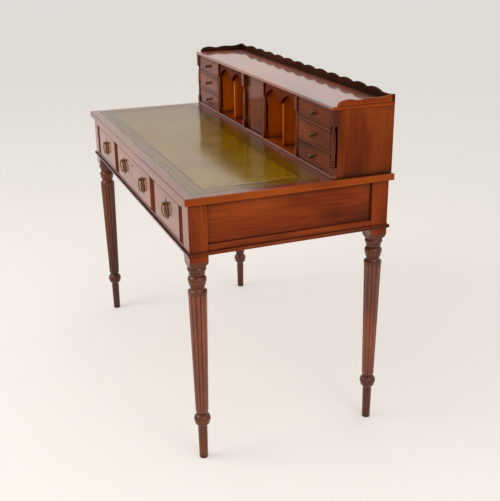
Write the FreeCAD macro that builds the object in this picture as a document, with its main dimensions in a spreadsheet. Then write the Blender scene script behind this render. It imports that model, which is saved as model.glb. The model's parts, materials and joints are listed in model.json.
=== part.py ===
"""Bonheur du jour: a small writing desk with a leather top, three frieze drawers on reeded turned
legs, and a low superstructure of six small drawers, four arched pigeonholes and a centre door.

Millimetres. +X to the sitter's right, -Y to the sitter, +Z up, origin on the floor under the
middle of the overall box. Every size comes from the sheet called Sizes.
"""
import FreeCAD, Part
import math
import os
import Sketcher
from FreeCAD import Placement, Rotation, Vector
from types import SimpleNamespace

SHEET_ROWS = (
    # the desk as a whole
    ("desk_width", 1116, "writing top, left to right"),
    ("desk_depth", 580, "writing top, front to back"),
    ("writing_height", 758, "floor to the top surface"),
    ("top_thickness", 19, "writing top"),
    ("top_overhang", 10, "writing top past the posts, all round"),
    ("top_upper_round", 4, "radius on the upper arris of the top"),
    ("top_lower_round", 2.5, "radius on the lower arris of the top"),
    ("leather_margin", 28, "wood left bare round the leather, at the front and the ends"),
    ("leather_back_margin", 24, "wood left bare between the leather and the superstructure"),
    ("leather_thickness", 1.4, "leather, let in flush"),
    ("leather_clearance", 0.2, "leather to the edge of its recess"),
    ("arris", 1.2, "radius on plain joiner's edges"),
    # frieze
    ("frieze_height", 135, "underside of the writing top to the underside of the base moulding"),
    ("post_side", 50, "square of the leg's upper part"),
    ("rail_thickness", 20, "front rails and the reeded stiles"),
    ("top_rail_height", 20, "front rail over the drawers"),
    ("bottom_rail_height", 17, "front rail under the drawers"),
    ("base_moulding_height", 10, "base moulding"),
    ("base_moulding_reach", 5, "base moulding, proud of the posts"),
    ("base_moulding_round", 3, "radius on the moulding's nose"),
    ("panel_setback", 8, "end and back panels, behind the post faces"),
    ("panel_thickness", 10, "end and back panels"),
    ("bead_rail_height", 17, "rounded rail over the base moulding on each end"),
    ("bead_rail_proud", 7, "rounded rail, out from the panel"),
    ("bead_rail_round", 5.5, "radius on the rounded rail"),
    # reeded stiles beside and between the drawers
    ("centre_opening", 390, "centre drawer opening, wide"),
    ("divider_width", 46, "two-reed stile between drawers"),
    ("end_stile_width", 28, "one-reed stile beside a post"),
    ("reed_width", 22, "one reed of a stile"),
    ("reed_rise", 6, "reed, valley to crown"),
    # frieze drawers
    ("drawer_gap", 1, "drawer front to its opening"),
    ("drawer_front_thickness", 20, "drawer front"),
    ("drawer_front_round", 2.2, "radius round the drawer front's face"),
    ("drawer_side_thickness", 10, "drawer sides and back"),
    ("drawer_side_height", 84, "drawer sides"),
    ("drawer_back_height", 70, "drawer back, over the bottom"),
    ("drawer_bottom_thickness", 5, "drawer bottom"),
    ("drawer_bottom_lift", 7, "drawer bottom above the side's lower edge"),
    ("drawer_back_gap", 52, "drawer sides to the back panel"),
    ("drawer_side_gap", 1.5, "drawer side to its guide"),
    ("drawer_rest_gap", 0.3, "drawer side to the runner under it"),
    ("runner_height", 15, "drawer runners"),
    ("runner_ledge", 12, "runner reaching under a drawer side"),
    ("guide_height", 20, "drawer guides"),
    ("kicker_height", 15, "kickers over the drawer sides"),
    # locks
    ("lock_width", 46, "lock case"),
    ("lock_above_key", 15, "lock case, over the keyhole's shoulder"),
    ("lock_below_key", 6.2, "lock case, under the keyhole's shoulder"),
    ("lock_thickness", 8, "lock case"),
    ("keyhole_drop", 17.5, "drawer front's upper edge to the keyhole's shoulder"),
    ("keyhole_slot", 4.5, "keyhole's slot, under the shoulder"),
    ("keyhole_half_slot", 1, "half the slot's width"),
    ("keyhole_round", 3.6, "keyhole's round, over the shoulder"),
    ("escutcheon_wall", 0.9, "brass left round the keyhole"),
    ("escutcheon_thickness", 0.5, "escutcheon"),
    # ring pulls
    ("pull_spread", 111, "pull to the middle of the centre drawer"),
    ("plate_radius", 24, "embossed round plate"),
    ("plate_edge", 1.2, "plate thickness at its rim"),
    ("plate_bead", 2.6, "height of the raised bead round the plate"),
    ("plate_boss_radius", 9, "raised boss in the plate's middle"),
    ("plate_boss_height", 4, "boss, off the drawer front"),
    ("ring_radius", 17, "ring pull, to the middle of its wire"),
    ("ring_wire", 2, "ring wire, half its thickness"),
    ("eye_radius", 4.6, "eye that the ring hangs in"),
    ("eye_length", 6, "eye, side to side"),
    ("eye_bore", 2.7, "radius of the hole in the eye"),
    ("eye_stand", 8, "eye centre, off the drawer front"),
    ("stem_radius", 2.3, "stem from the eye through the drawer front"),
    ("stem_clearance", 0.2, "stem to its hole"),
    ("stem_end", 6, "stem, past the inside of the drawer front"),
    ("nut_radius", 6, "round nut on the stem"),
    ("nut_thickness", 3.5, "round nut on the stem"),
    # legs
    ("foot_radius", 11.9, "leg at the floor"),
    ("foot_ease", 1.2, "eased edge at the floor"),
    ("peg_radius", 13.2, "plain foot under the ball"),
    ("ball_bottom", 102, "floor to the ball's cup"),
    ("ball_cup_radius", 17, "cup under the ball's ring"),
    ("ball_cup_height", 5, "cup"),
    ("ball_ring_height", 9, "ring under the ball"),
    ("ball_ring_radius", 20.3, "top of that ring"),
    ("ball_step", 0.6, "ball, past its ring"),
    ("ball_height", 22, "ball, over its ring"),
    ("ball_rise", 4.4, "ball, out from its ends"),
    ("ball_neck_radius", 15.4, "leg over the ball"),
    ("ball_neck_height", 3, "plain neck between the ball and the reeding"),
    ("reeding_foot_radius", 14.8, "crown of the reeds where they run into that neck"),
    ("reeding_runout", 8, "the reeds' run into the neck"),
    ("reeding_bottom_radius", 17.5, "crown of the reeds over that run"),
    ("reeding_top_radius", 24.2, "crown of the reeds at the collar"),
    ("reeding_valley", 0.875, "valley radius, as a share of the crown radius"),
    ("reeding_collar", 0.6, "collars at the ends of the reeding, proud of the reeds"),
    ("reeding_core", 2, "turned core inside the valleys"),
    ("collar_height", 9, "plain collar over the reeding"),
    ("cove_height", 11, "hollow between the collar and the bulb"),
    ("cove_bow", 1.8, "depth of that hollow's curve"),
    ("upper_neck_radius", 18.2, "leg either side of the bulb"),
    ("bulb_height", 31, "bulb, with its two rings"),
    ("bulb_ring_height", 6.5, "each of the two rings under the bulb"),
    ("bulb_ring_step", 2.2, "each ring, wider than the one under it"),
    ("bulb_ring_rise", 1.3, "swell of each ring"),
    ("bulb_rise", 3.9, "bulb, out from its ends"),
    ("bead_gap", 1, "bulb to the beads over it"),
    ("small_bead_height", 10, "bead over the bulb"),
    ("small_bead_rise", 1.7, "the same bead, out from the leg"),
    ("large_bead_height", 13, "bead under the block"),
    ("large_bead_rise", 3.2, "the same bead, out from the leg"),
    ("bead_seat_radius", 20.8, "leg between the beads"),
    ("block_neck_radius", 22.4, "leg where it meets the block"),
    ("block_neck_height", 3, "leg between the large bead and the block"),
    ("block_drop", 32, "square block, below the frieze"),
    ("shoulder_height", 15, "turned shoulders of the block"),
    ("shoulder_round", 2.4, "roundness of those shoulders"),
    ("shoulder_radius", 24.4, "shoulder at the block's underside"),
    # superstructure
    ("upper_side_inset", 13.5, "its sides, in from the ends of the writing top"),
    ("upper_depth", 164, "side panels, front to back"),
    ("upper_inset", 1.5, "its back, in from the back of the writing top"),
    ("upper_height", 188, "writing surface to its top surface"),
    ("upper_top_thickness", 10, "top board"),
    ("upper_top_overhang", 1, "top board past the sides and columns"),
    ("upper_top_round", 3, "radius on the top board's edges"),
    ("upper_floor_thickness", 8, "floor board"),
    ("upper_floor_round", 3, "radius on the floor board's front"),
    ("upright_thickness", 16, "sides, partitions and the columns' blocks"),
    ("upper_back_thickness", 6, "back board"),
    ("partition_x", 82, "inner partition, off the middle"),
    ("drawer_partition_x", 320, "outer partition, off the middle"),
    ("divider_thickness", 8, "pigeonhole divider"),
    ("shelf_thickness", 5, "boards between the small drawers"),
    # arches over the pigeonholes
    ("fascia_setback", 5, "arched fascia, behind the columns' fronts"),
    ("fascia_thickness", 11, "arched fascia"),
    ("fascia_height", 43, "fascia at its lowest points"),
    ("arch_rise", 31, "arch, spring to its point"),
    ("arch_bow", 5.8, "roundness of each half of an arch"),
    ("arch_edge", 1.5, "flat at the outer foot of each arch"),
    # columns
    ("column_top_block", 40, "square block under the top board"),
    ("column_base_block", 22, "square block on the floor board"),
    ("column_neck_radius", 4.2, "column under its top block"),
    ("column_flare_radius", 6.4, "column at its top block"),
    ("column_flare_height", 7, "flare under the top block"),
    ("column_waist_radius", 5.8, "column over its rings"),
    ("column_vase_bow", 1.9, "swell of the vase"),
    ("column_ring_rise", 2.1, "each ring, out from the column"),
    ("column_ring_height", 4.5, "each ring"),
    ("column_ring_gap", 3.4, "between rings"),
    # small drawers
    ("small_gap", 0.6, "small drawer to its opening"),
    ("small_front_setback", 4.5, "small drawer fronts, behind the columns' fronts"),
    ("small_front_thickness", 10, "small drawer front"),
    ("small_side_thickness", 6, "small drawer sides and back"),
    ("small_bottom_thickness", 3, "small drawer bottom"),
    ("small_back_gap", 11.5, "small drawer sides to the back board"),
    ("small_rest_gap", 0.3, "small drawer to the board under it"),
    ("cockbead_width", 2.4, "bead round each small front"),
    ("cockbead_proud", 1.4, "the same bead, proud"),
    ("knob_base_radius", 4.6, "knob, where it meets the front"),
    ("knob_base_height", 1.6, "knob's foot"),
    ("knob_neck_radius", 2.8, "knob's neck"),
    ("knob_head_start", 6, "off the front, to the back of the knob's head"),
    ("knob_radius", 6.6, "knob's head"),
    ("knob_reach", 14, "knob, off the front"),
    ("knob_face_radius", 3.6, "flat on the knob's face"),
    ("knob_shank_radius", 1.8, "knob's screw"),
    ("knob_shank_clearance", 0.1, "knob's screw to its hole"),
    # centre door
    ("door_setback", 12, "door, behind the columns' fronts"),
    ("door_thickness", 14, "door"),
    ("door_gap", 1.5, "door to its opening at each side"),
    ("door_end_gap", 0.8, "door to its opening, above and below"),
    ("hinge_pin_out", 2.3, "hinge pin, in front of the door's face"),
    ("hinge_pin_in", 0.7, "hinge pin, in from the door's edge"),
    ("hinge_knuckle_radius", 2, "hinge knuckle"),
    ("hinge_pin_radius", 0.9, "hinge pin"),
    ("hinge_pin_fit", 0.06, "hinge pin to the door's knuckle"),
    ("hinge_knuckle_length", 7, "each of a hinge's three knuckles"),
    ("hinge_knuckle_gap", 0.3, "between knuckles"),
    ("hinge_leaf_thickness", 0.6, "hinge leaf"),
    ("hinge_leaf_depth", 11, "hinge leaf, behind the door's face"),
    ("hinge_from_end", 28, "hinge, from the door's end to its middle"),
    # gallery
    ("gallery_thickness", 8, "gallery boards"),
    ("gallery_valley", 16, "top board to the dips of the back gallery"),
    ("scallop_width", 80, "one scallop"),
    ("scallop_rise", 6.6, "one scallop, dip to top"),
    ("gallery_corner", 20.5, "gallery's height at the back corners"),
    ("gallery_end_bow", 2.2, "sweep up to a back corner"),
    ("side_gallery_front", 3, "side gallery's height at its front end"),
    ("side_gallery_rise", 13.5, "height it sweeps up to"),
    ("side_gallery_sweep", 15, "length of that sweep"),
    ("side_gallery_bow", 2.4, "roundness of that sweep"),
    ("side_wave_bow", 1.6, "waves along the side gallery"),
)

SCALLOPS_EACH_SIDE = 6
LEG_REEDS = 12
COLUMN_RINGS = 3
SMALL_DRAWER_LEVELS = ("bottom", "middle", "top")


# ---------------------------------------------------------------- sizes that carry their formula
class Size:
    """A length with both its number and the sheet formula that gives it."""

    def __init__(self, number, formula):
        self.number = float(number)
        self.formula = formula

    def __add__(self, other):
        other = as_size(other)
        return Size(self.number + other.number, f"({self.formula} + {other.formula})")

    def __sub__(self, other):
        other = as_size(other)
        return Size(self.number - other.number, f"({self.formula} - {other.formula})")

    def __mul__(self, other):
        other = as_size(other)
        return Size(self.number * other.number, f"({self.formula} * {other.formula})")

    def __truediv__(self, other):
        other = as_size(other)
        return Size(self.number / other.number, f"({self.formula} / {other.formula})")

    def __neg__(self):
        return as_size(0) - self

    def __radd__(self, other):
        return as_size(other) + self

    def __rsub__(self, other):
        return as_size(other) - self

    def __rmul__(self, other):
        return as_size(other) * self

    def root(self):
        return Size(math.sqrt(self.number), f"sqrt({self.formula})")


def as_size(value):
    """A plain number as a Size, or a Size as it is."""
    if isinstance(value, Size):
        return value
    return Size(value, f"{value:.9g}" if value >= 0 else f"(0 - {-value:.9g})")


doc = FreeCAD.newDocument("BonheurDuJour")
sheet = doc.addObject("Spreadsheet::Sheet", "Sizes")
for row, (alias, value, meaning) in enumerate(SHEET_ROWS, start=1):
    sheet.set(f"A{row}", alias)
    sheet.set(f"B{row}", str(value))
    sheet.setAlias(f"B{row}", alias)
    sheet.set(f"C{row}", meaning)
doc.recompute()
s = SimpleNamespace(**{alias: Size(value, f"Sizes.{alias}") for alias, value, meaning in SHEET_ROWS})


# ---------------------------------------------------------------- ways of making a piece
PIECES = []


def piece(obj, label):
    """Names a finished piece. Its label is its file's name."""
    obj.Label = label
    PIECES.append(obj)
    return obj


def group(label, members):
    """Separate solids of one kind, kept together under one name."""
    compound = doc.addObject("Part::Compound", f"{label}_set")
    compound.Links = members
    return piece(compound, label)


def bind(obj, prop, size):
    obj.setExpression(prop, as_size(size).formula)


def place(obj, x, y, z):
    bind(obj, "Placement.Base.x", x)
    bind(obj, "Placement.Base.y", y)
    bind(obj, "Placement.Base.z", z)
    return obj


def board(name, x, y, z):
    """A plain board between two X, two Y and two Z faces."""
    box = doc.addObject("Part::Box", name)
    bind(box, "Length", x[1] - x[0])
    bind(box, "Width", y[1] - y[0])
    bind(box, "Height", z[1] - z[0])
    return place(box, x[0], y[0], z[0])


def rod(name, radius, length, x, y, z, axis):
    """A plain cylinder from a point along X, Y or Z."""
    cylinder = doc.addObject("Part::Cylinder", name)
    bind(cylinder, "Radius", radius)
    bind(cylinder, "Height", length)
    cylinder.Placement = Placement(Vector(0, 0, 0), Rotation(Vector(0, 0, 1), Vector(*axis)))
    return place(cylinder, x, y, z)


def fused(name, shapes):
    fusion = doc.addObject("Part::MultiFuse", name)
    fusion.Shapes = shapes
    return fusion


def cut(name, base, tool):
    difference = doc.addObject("Part::Cut", name)
    difference.Base = base
    difference.Tool = tool
    return difference


def new_sketch(body, name, plane, offset=None):
    """A sketch on one of its body's own origin planes, or off it along the plane's normal."""
    sketch = body.newObject("Sketcher::SketchObject", name)
    origin_plane = [feature for feature in body.Origin.OriginFeatures if feature.Role == plane][0]
    sketch.AttachmentSupport = [(origin_plane, "")]
    sketch.MapMode = "FlatFace"
    if offset is not None:
        bind(sketch, "AttachmentOffset.Base.z", offset)
    return sketch


def arc_centre(start, end, rise):
    """The middle of the circle through two corners whose arc bows out by rise, to the right."""
    run_x = end[0] - start[0]
    run_y = end[1] - start[1]
    chord_squared = run_x * run_x + run_y * run_y
    back = chord_squared / (rise * 8) - rise / 2
    chord = chord_squared.root()
    return ((start[0] + end[0]) / 2 - back * run_y / chord,
            (start[1] + end[1]) / 2 + back * run_x / chord)


def draw(sketch, corners):
    """A closed outline, counter-clockwise. A corner is (x, y), or (x, y, rise) where the side
    after it is an arc: a positive rise bows outwards and a negative one inwards."""
    first = sketch.GeometryCount
    corners = [tuple(as_size(value) for value in corner) for corner in corners]
    rules = []
    ends = []
    for index, corner in enumerate(corners):
        after = corners[(index + 1) % len(corners)]
        a = Vector(corner[0].number, corner[1].number, 0)
        b = Vector(after[0].number, after[1].number, 0)
        if len(corner) == 2:
            sketch.addGeometry(Part.LineSegment(a, b), False)
            ends.append((1, 2))
            continue
        centre = arc_centre(corner, after, corner[2])
        middle = Vector(centre[0].number, centre[1].number, 0)
        outwards = corner[2].number > 0
        circle = Part.Circle(middle, Vector(0, 0, 1), (a - middle).Length)
        turn_a = math.atan2(a.y - middle.y, a.x - middle.x)
        turn_b = math.atan2(b.y - middle.y, b.x - middle.x)
        if outwards:
            sketch.addGeometry(Part.ArcOfCircle(circle, turn_a, turn_b), False)
            ends.append((1, 2))
        else:
            sketch.addGeometry(Part.ArcOfCircle(circle, turn_b, turn_a), False)
            ends.append((2, 1))
        upright = abs(b.y - a.y) >= abs(b.x - a.x)
        rules.append(("X" if upright else "Y", first + index, 3, centre[0] if upright else centre[1]))
    joints = []
    for index, corner in enumerate(corners):
        after = (index + 1) % len(corners)
        joints.append(Sketcher.Constraint("Coincident", first + index, ends[index][1],
                                          first + after, ends[after][0]))
        rules.append(("X", first + index, ends[index][0], corner[0]))
        rules.append(("Y", first + index, ends[index][0], corner[1]))
    sketch.addConstraint(joints)
    for direction, geometry, point, size in rules:
        if size.formula == "0":
            axis = -2 if direction == "X" else -1
            sketch.addConstraint(Sketcher.Constraint("PointOnObject", geometry, point, axis))
            continue
        rule = Sketcher.Constraint(f"Distance{direction}", -1, 1, geometry, point, size.number)
        number = sketch.addConstraint(rule)
        bind(sketch, f"Constraints[{number}]", size)


def hole_in(sketch, x, y, radius):
    """A round outline in a sketch."""
    centre = Vector(as_size(x).number, as_size(y).number, 0)
    number = sketch.addGeometry(Part.Circle(centre, Vector(0, 0, 1), radius.number), False)
    bind(sketch, f"Constraints[{sketch.addConstraint(Sketcher.Constraint('Radius', number, radius.number))}]",
         radius)
    for direction, axis, size in (("X", -2, as_size(x)), ("Y", -1, as_size(y))):
        if size.formula == "0":
            sketch.addConstraint(Sketcher.Constraint("PointOnObject", number, 3, axis))
            continue
        rule = Sketcher.Constraint(f"Distance{direction}", -1, 1, number, 3, size.number)
        bind(sketch, f"Constraints[{sketch.addConstraint(rule)}]", size)


def padded(name, plane, corners, depth, at):
    """A body padded from one outline. It grows along +Z, +Y or +X from its plane."""
    body = doc.addObject("PartDesign::Body", name)
    sketch = new_sketch(body, f"{name}_outline", plane)
    draw(sketch, corners)
    pad = body.newObject("PartDesign::Pad", f"{name}_pad")
    pad.Profile = sketch
    pad.Reversed = plane == "XZ_Plane"
    bind(pad, "Length", depth)
    return place(body, *at)


def turned(name, plane, corners, at):
    """A body turned about Z (outline on XZ) or about Y (outline on XY)."""
    body = doc.addObject("PartDesign::Body", name)
    sketch = new_sketch(body, f"{name}_outline", plane)
    draw(sketch, corners)
    revolution = body.newObject("PartDesign::Revolution", f"{name}_turning")
    revolution.Profile = sketch
    revolution.ReferenceAxis = (sketch, ["V_Axis"])
    revolution.Angle = 360
    return place(body, *at)


def round_edges(body, name, radius, wanted):
    """Rounds the edges of a body that wanted(edge) picks out."""
    doc.recompute()
    base = body.Tip
    names = [f"Edge{number}" for number, edge in enumerate(base.Shape.Edges, start=1) if wanted(edge)]
    fillet = body.newObject("PartDesign::Fillet", name)
    fillet.Base = (base, names)
    bind(fillet, "Radius", radius)
    return body


def rectangle(x, y):
    """Corners of a rectangle between two X and two Y places, counter-clockwise."""
    return [(x[0], y[0]), (x[1], y[0]), (x[1], y[1]), (x[0], y[1])]


def lies_at(edge, axis, value):
    """Whether a whole edge lies in the plane where x, y or z is value."""
    box = edge.BoundBox
    low, high = {"x": (box.XMin, box.XMax), "y": (box.YMin, box.YMax), "z": (box.ZMin, box.ZMax)}[axis]
    slack = 1e-4
    return abs(low - value.number) < slack and abs(high - value.number) < slack


def is_upright(edge):
    return edge.BoundBox.ZLength > max(edge.BoundBox.XLength, edge.BoundBox.YLength) * 10


# ---------------------------------------------------------------- places shared by many pieces
# the eyes of the ring pulls stand out a little past the writing top, so the top sits back by half
pull_past_top = s.eye_stand + s.eye_radius - s.top_overhang
top_front_y = (pull_past_top - s.desk_depth) / 2
top_back_y = top_front_y + s.desk_depth
top_side_x = s.desk_width / 2
top_under_z = s.writing_height - s.top_thickness
frieze_z = top_under_z - s.frieze_height

post_out_x = top_side_x - s.top_overhang
post_in_x = post_out_x - s.post_side
frame_front_y = top_front_y + s.top_overhang
frame_back_y = top_back_y - s.top_overhang
rail_back_y = frame_front_y + s.rail_thickness
back_panel_y = frame_back_y - s.panel_setback
inner_back_y = back_panel_y - s.panel_thickness

opening_top_z = top_under_z - s.top_rail_height
opening_bottom_z = frieze_z + s.bottom_rail_height
centre_half = s.centre_opening / 2
side_opening_in_x = centre_half + s.divider_width
side_opening_out_x = post_in_x - s.end_stile_width

ball_cup_z = s.ball_bottom + s.ball_cup_height
ball_z = ball_cup_z + s.ball_ring_height
ball_top_z = ball_z + s.ball_height
reeding_foot_z = ball_top_z + s.ball_neck_height
reeding_bottom_z = reeding_foot_z + s.reeding_runout
block_z = frieze_z - s.block_drop
beads_top_z = block_z - s.block_neck_height
beads_z = beads_top_z - s.large_bead_height - s.small_bead_height
bulb_top_z = beads_z - s.bead_gap
bulb_bottom_z = bulb_top_z - s.bulb_height
collar_top_z = bulb_bottom_z - s.cove_height
reeding_top_z = collar_top_z - s.collar_height

upper_side_x = top_side_x - s.upper_side_inset
upper_back_y = top_back_y - s.upper_inset
upper_front_y = upper_back_y - s.upper_depth
column_front_y = upper_front_y - s.upright_thickness
upper_inner_back_y = upper_back_y - s.upper_back_thickness
upper_top_z = s.writing_height + s.upper_height
upper_ceiling_z = upper_top_z - s.upper_top_thickness
upper_floor_z = s.writing_height + s.upper_floor_thickness
door_opening_x = s.partition_x - s.upright_thickness / 2
pigeonhole_in_x = s.partition_x + s.upright_thickness / 2
pigeonhole_out_x = s.drawer_partition_x - s.upright_thickness / 2
small_opening_in_x = s.drawer_partition_x + s.upright_thickness / 2
small_opening_out_x = upper_side_x - s.upright_thickness
pigeonhole_middle_x = (pigeonhole_in_x + pigeonhole_out_x) / 2
fascia_back_y = column_front_y + s.fascia_setback + s.fascia_thickness
small_front_y = column_front_y + s.small_front_setback
door_front_y = column_front_y + s.door_setback
small_opening_height = (upper_ceiling_z - upper_floor_z - s.shelf_thickness * 2) / 3

SIDES = (("left", -1), ("right", 1))


def mirrored(x, side):
    """Two X places on one side of the middle, in rising order."""
    return (x[0], x[1]) if side > 0 else (-x[1], -x[0])


# ---------------------------------------------------------------- writing top
def build_top():
    body = padded("writing_top_board", "XY_Plane",
                  rectangle((-top_side_x, top_side_x), (top_front_y, top_back_y)),
                  s.top_thickness, (0, 0, top_under_z))
    round_edges(body, "top_upper_arris", s.top_upper_round,
                lambda edge: lies_at(edge, "z", s.top_thickness))
    round_edges(body, "top_lower_arris", s.top_lower_round, lambda edge: lies_at(edge, "z", as_size(0)))
    recess_sketch = new_sketch(body, "leather_recess_outline", "XY_Plane", s.top_thickness)
    draw(recess_sketch, rectangle(*leather_area(as_size(0))))
    recess = body.newObject("PartDesign::Pocket", "leather_recess")
    recess.Profile = recess_sketch
    bind(recess, "Length", s.leather_thickness)
    piece(body, "writing_top")
    leather_x, leather_y = leather_area(s.leather_clearance)
    leather_z = (s.writing_height - s.leather_thickness, s.writing_height)
    piece(board("leather_sheet", leather_x, leather_y, leather_z), "leather_skiver")


def leather_area(inset):
    """The leather's X and Y places, or its recess's where the inset is nothing."""
    reach_x = top_side_x - s.leather_margin - inset
    return ((-reach_x, reach_x),
            (top_front_y + s.leather_margin + inset,
             column_front_y - s.leather_back_margin - inset))


# ---------------------------------------------------------------- legs
def leg_outline():
    """Half of the leg's turned section, from the floor up, with its core inside the reeding."""
    core = s.reeding_valley
    collar_radius = s.reeding_top_radius + s.reeding_collar
    first_ring = s.upper_neck_radius + s.bulb_ring_step
    second_ring = first_ring + s.bulb_ring_step
    return [(0, 0), (s.foot_radius - s.foot_ease, 0), (s.foot_radius, s.foot_ease),
            (s.peg_radius, s.ball_bottom), (s.ball_cup_radius, ball_cup_z, s.bulb_ring_rise),
            (s.ball_ring_radius, ball_z), (s.ball_ring_radius + s.ball_step, ball_z, s.ball_rise),
            (s.ball_neck_radius, ball_top_z), (s.ball_neck_radius, reeding_foot_z),
            (s.reeding_foot_radius * core - s.reeding_core, reeding_foot_z),
            (s.reeding_top_radius * core - s.reeding_core, reeding_top_z),
            (collar_radius, reeding_top_z), (collar_radius, collar_top_z, -s.cove_bow),
            (s.upper_neck_radius, bulb_bottom_z, s.bulb_ring_rise),
            (first_ring, bulb_bottom_z + s.bulb_ring_height, s.bulb_ring_rise),
            (second_ring, bulb_bottom_z + s.bulb_ring_height * 2, s.bulb_rise),
            (s.upper_neck_radius, bulb_top_z), (s.upper_neck_radius, beads_z, s.small_bead_rise),
            (s.bead_seat_radius, beads_z + s.small_bead_height, s.large_bead_rise),
            (s.block_neck_radius, beads_top_z), (s.block_neck_radius, block_z), (0, block_z)]


def reeded_outline(crown_radius):
    """A round section of convex reeds."""
    valley = crown_radius * s.reeding_valley
    rise = crown_radius - valley * math.cos(math.pi / LEG_REEDS)
    turns = [2 * math.pi * number / LEG_REEDS for number in range(LEG_REEDS)]
    return [(valley * math.cos(turn), valley * math.sin(turn), rise) for turn in turns]


def build_leg(label, x, y):
    """A leg and the square post over it, in one length of wood."""
    body = turned(f"{label}_wood", "XZ_Plane", leg_outline(), (x, y, 0))
    sections = []
    for place_name, level, radius in (("foot", reeding_foot_z, s.reeding_foot_radius),
                                      ("low", reeding_bottom_z, s.reeding_bottom_radius),
                                      ("high", reeding_top_z, s.reeding_top_radius)):
        section = new_sketch(body, f"{label}_reeds_{place_name}", "XY_Plane", level)
        draw(section, reeded_outline(radius))
        sections.append(section)
    reeds = body.newObject("PartDesign::AdditiveLoft", f"{label}_reeding")
    reeds.Profile = sections[0]
    reeds.Sections = sections[1:]
    reeds.Ruled = True
    square = new_sketch(body, f"{label}_square", "XY_Plane", block_z)
    half = s.post_side / 2
    draw(square, rectangle((-half, half), (-half, half)))
    post = body.newObject("PartDesign::Pad", f"{label}_post")
    post.Profile = square
    bind(post, "Length", top_under_z - block_z)
    round_edges(body, f"{label}_arrises", s.arris,
                lambda edge: is_upright(edge) and edge.BoundBox.ZMin > block_z.number - 1)
    turn_shoulders(body, label)
    piece(body, label)


def turn_shoulders(body, label):
    """Turns away the lower corners of the square block."""
    corner = s.post_side / 2 * as_size(2).root()
    outside = corner + s.arris
    top = block_z + s.shoulder_height
    sketch = new_sketch(body, f"{label}_shoulder_outline", "XZ_Plane")
    draw(sketch, [(s.shoulder_radius, block_z), (outside, block_z), (outside, top),
                  (corner, top, -s.shoulder_round)])
    groove = body.newObject("PartDesign::Groove", f"{label}_shoulders")
    groove.Profile = sketch
    groove.ReferenceAxis = (sketch, ["V_Axis"])
    groove.Angle = 360


def build_legs():
    half = s.post_side / 2
    for side_name, side in SIDES:
        x = (post_out_x - half) * side
        build_leg(f"leg_front_{side_name}", x, frame_front_y + half)
        build_leg(f"leg_back_{side_name}", x, frame_back_y - half)


# ---------------------------------------------------------------- frieze
def build_front_frame():
    """The two front rails and the reeded stiles between them."""
    span = (-post_in_x, post_in_x)
    depth = (frame_front_y, rail_back_y)
    group("front_rails", [board("top_rail", span, depth, (opening_top_z, top_under_z)),
                          board("bottom_rail", span, depth, (frieze_z, opening_bottom_z))])
    stiles = []
    for side_name, side in SIDES:
        divider_x = mirrored((centre_half, side_opening_in_x), side)
        end_x = mirrored((side_opening_out_x, post_in_x), side)
        stiles.append(reeded_stile(f"divider_{side_name}", divider_x, s.divider_width, 2))
        stiles.append(reeded_stile(f"end_stile_{side_name}", end_x, s.end_stile_width, 1))
    group("reeded_stiles", stiles)


def reeded_stile(name, x, width, reeds):
    """An upright between the rails whose front is worked with convex reeds."""
    quirk = (width - s.reed_width * reeds) / 2
    front = [(0, s.reed_rise)]
    front += [(quirk + s.reed_width * number, s.reed_rise, s.reed_rise) for number in range(reeds)]
    front += [(quirk + s.reed_width * reeds, s.reed_rise), (width, s.reed_rise)]
    back = [(width, s.rail_thickness), (0, s.rail_thickness)]
    return padded(name, "XY_Plane", front + back, opening_top_z - opening_bottom_z,
                  (x[0], frame_front_y, opening_bottom_z))


def build_panels():
    """End and back panels, set back between the posts, and the rounded rail over each end's base."""
    post_back_y = frame_front_y + s.post_side
    back_post_y = frame_back_y - s.post_side
    full_height = (frieze_z, top_under_z)
    face_x = post_out_x - s.panel_setback
    bead_rails = []
    for side_name, side in SIDES:
        panel_x = mirrored((face_x - s.panel_thickness, face_x), side)
        piece(board(f"end_board_{side_name}", panel_x, (post_back_y, back_post_y), full_height),
              f"end_panel_{side_name}")
        bead_x = mirrored((face_x, face_x + s.bead_rail_proud), side)
        rail = padded(f"bead_rail_{side_name}", "YZ_Plane",
                      rectangle((post_back_y, back_post_y), (0, s.bead_rail_height)),
                      s.bead_rail_proud, (bead_x[0], 0, frieze_z + s.base_moulding_height))
        outer_x = s.bead_rail_proud if side > 0 else as_size(0)
        round_edges(rail, f"bead_round_{side_name}", s.bead_rail_round,
                    lambda edge: lies_at(edge, "x", outer_x) and lies_at(edge, "z", s.bead_rail_height))
        bead_rails.append(rail)
    group("end_bead_rails", bead_rails)
    piece(board("back_board", (-post_in_x, post_in_x), (inner_back_y, back_panel_y), full_height),
          "back_panel")


def build_base_moulding():
    """Four mitred lengths round the foot of the frieze."""
    reach = s.base_moulding_reach
    width_half = post_out_x + reach
    front_y = frame_front_y - reach
    back_y = frame_back_y + reach
    run_y = back_y - front_y
    height = s.base_moulding_height
    front = padded("moulding_front", "XY_Plane",
                   [(-width_half, 0), (width_half, 0), (width_half - reach, reach),
                    (reach - width_half, reach)], height, (0, front_y, frieze_z))
    back = padded("moulding_back", "XY_Plane",
                  [(reach - width_half, -reach), (width_half - reach, -reach), (width_half, 0),
                   (-width_half, 0)], height, (0, back_y, frieze_z))
    right = padded("moulding_right", "XY_Plane",
                   [(-reach, reach), (0, 0), (0, run_y), (-reach, run_y - reach)],
                   height, (width_half, front_y, frieze_z))
    left = padded("moulding_left", "XY_Plane",
                  [(0, 0), (reach, reach), (reach, run_y - reach), (0, run_y)],
                  height, (-width_half, front_y, frieze_z))
    lengths = []
    for body, axis in ((front, "y"), (back, "y"), (right, "x"), (left, "x")):
        for place_name, level in (("upper", height), ("lower", as_size(0))):
            round_edges(body, f"{body.Name}_{place_name}_nose", s.base_moulding_round,
                        lambda edge: lies_at(edge, axis, as_size(0)) and lies_at(edge, "z", level))
        lengths.append(body)
    group("base_moulding", lengths)


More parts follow.
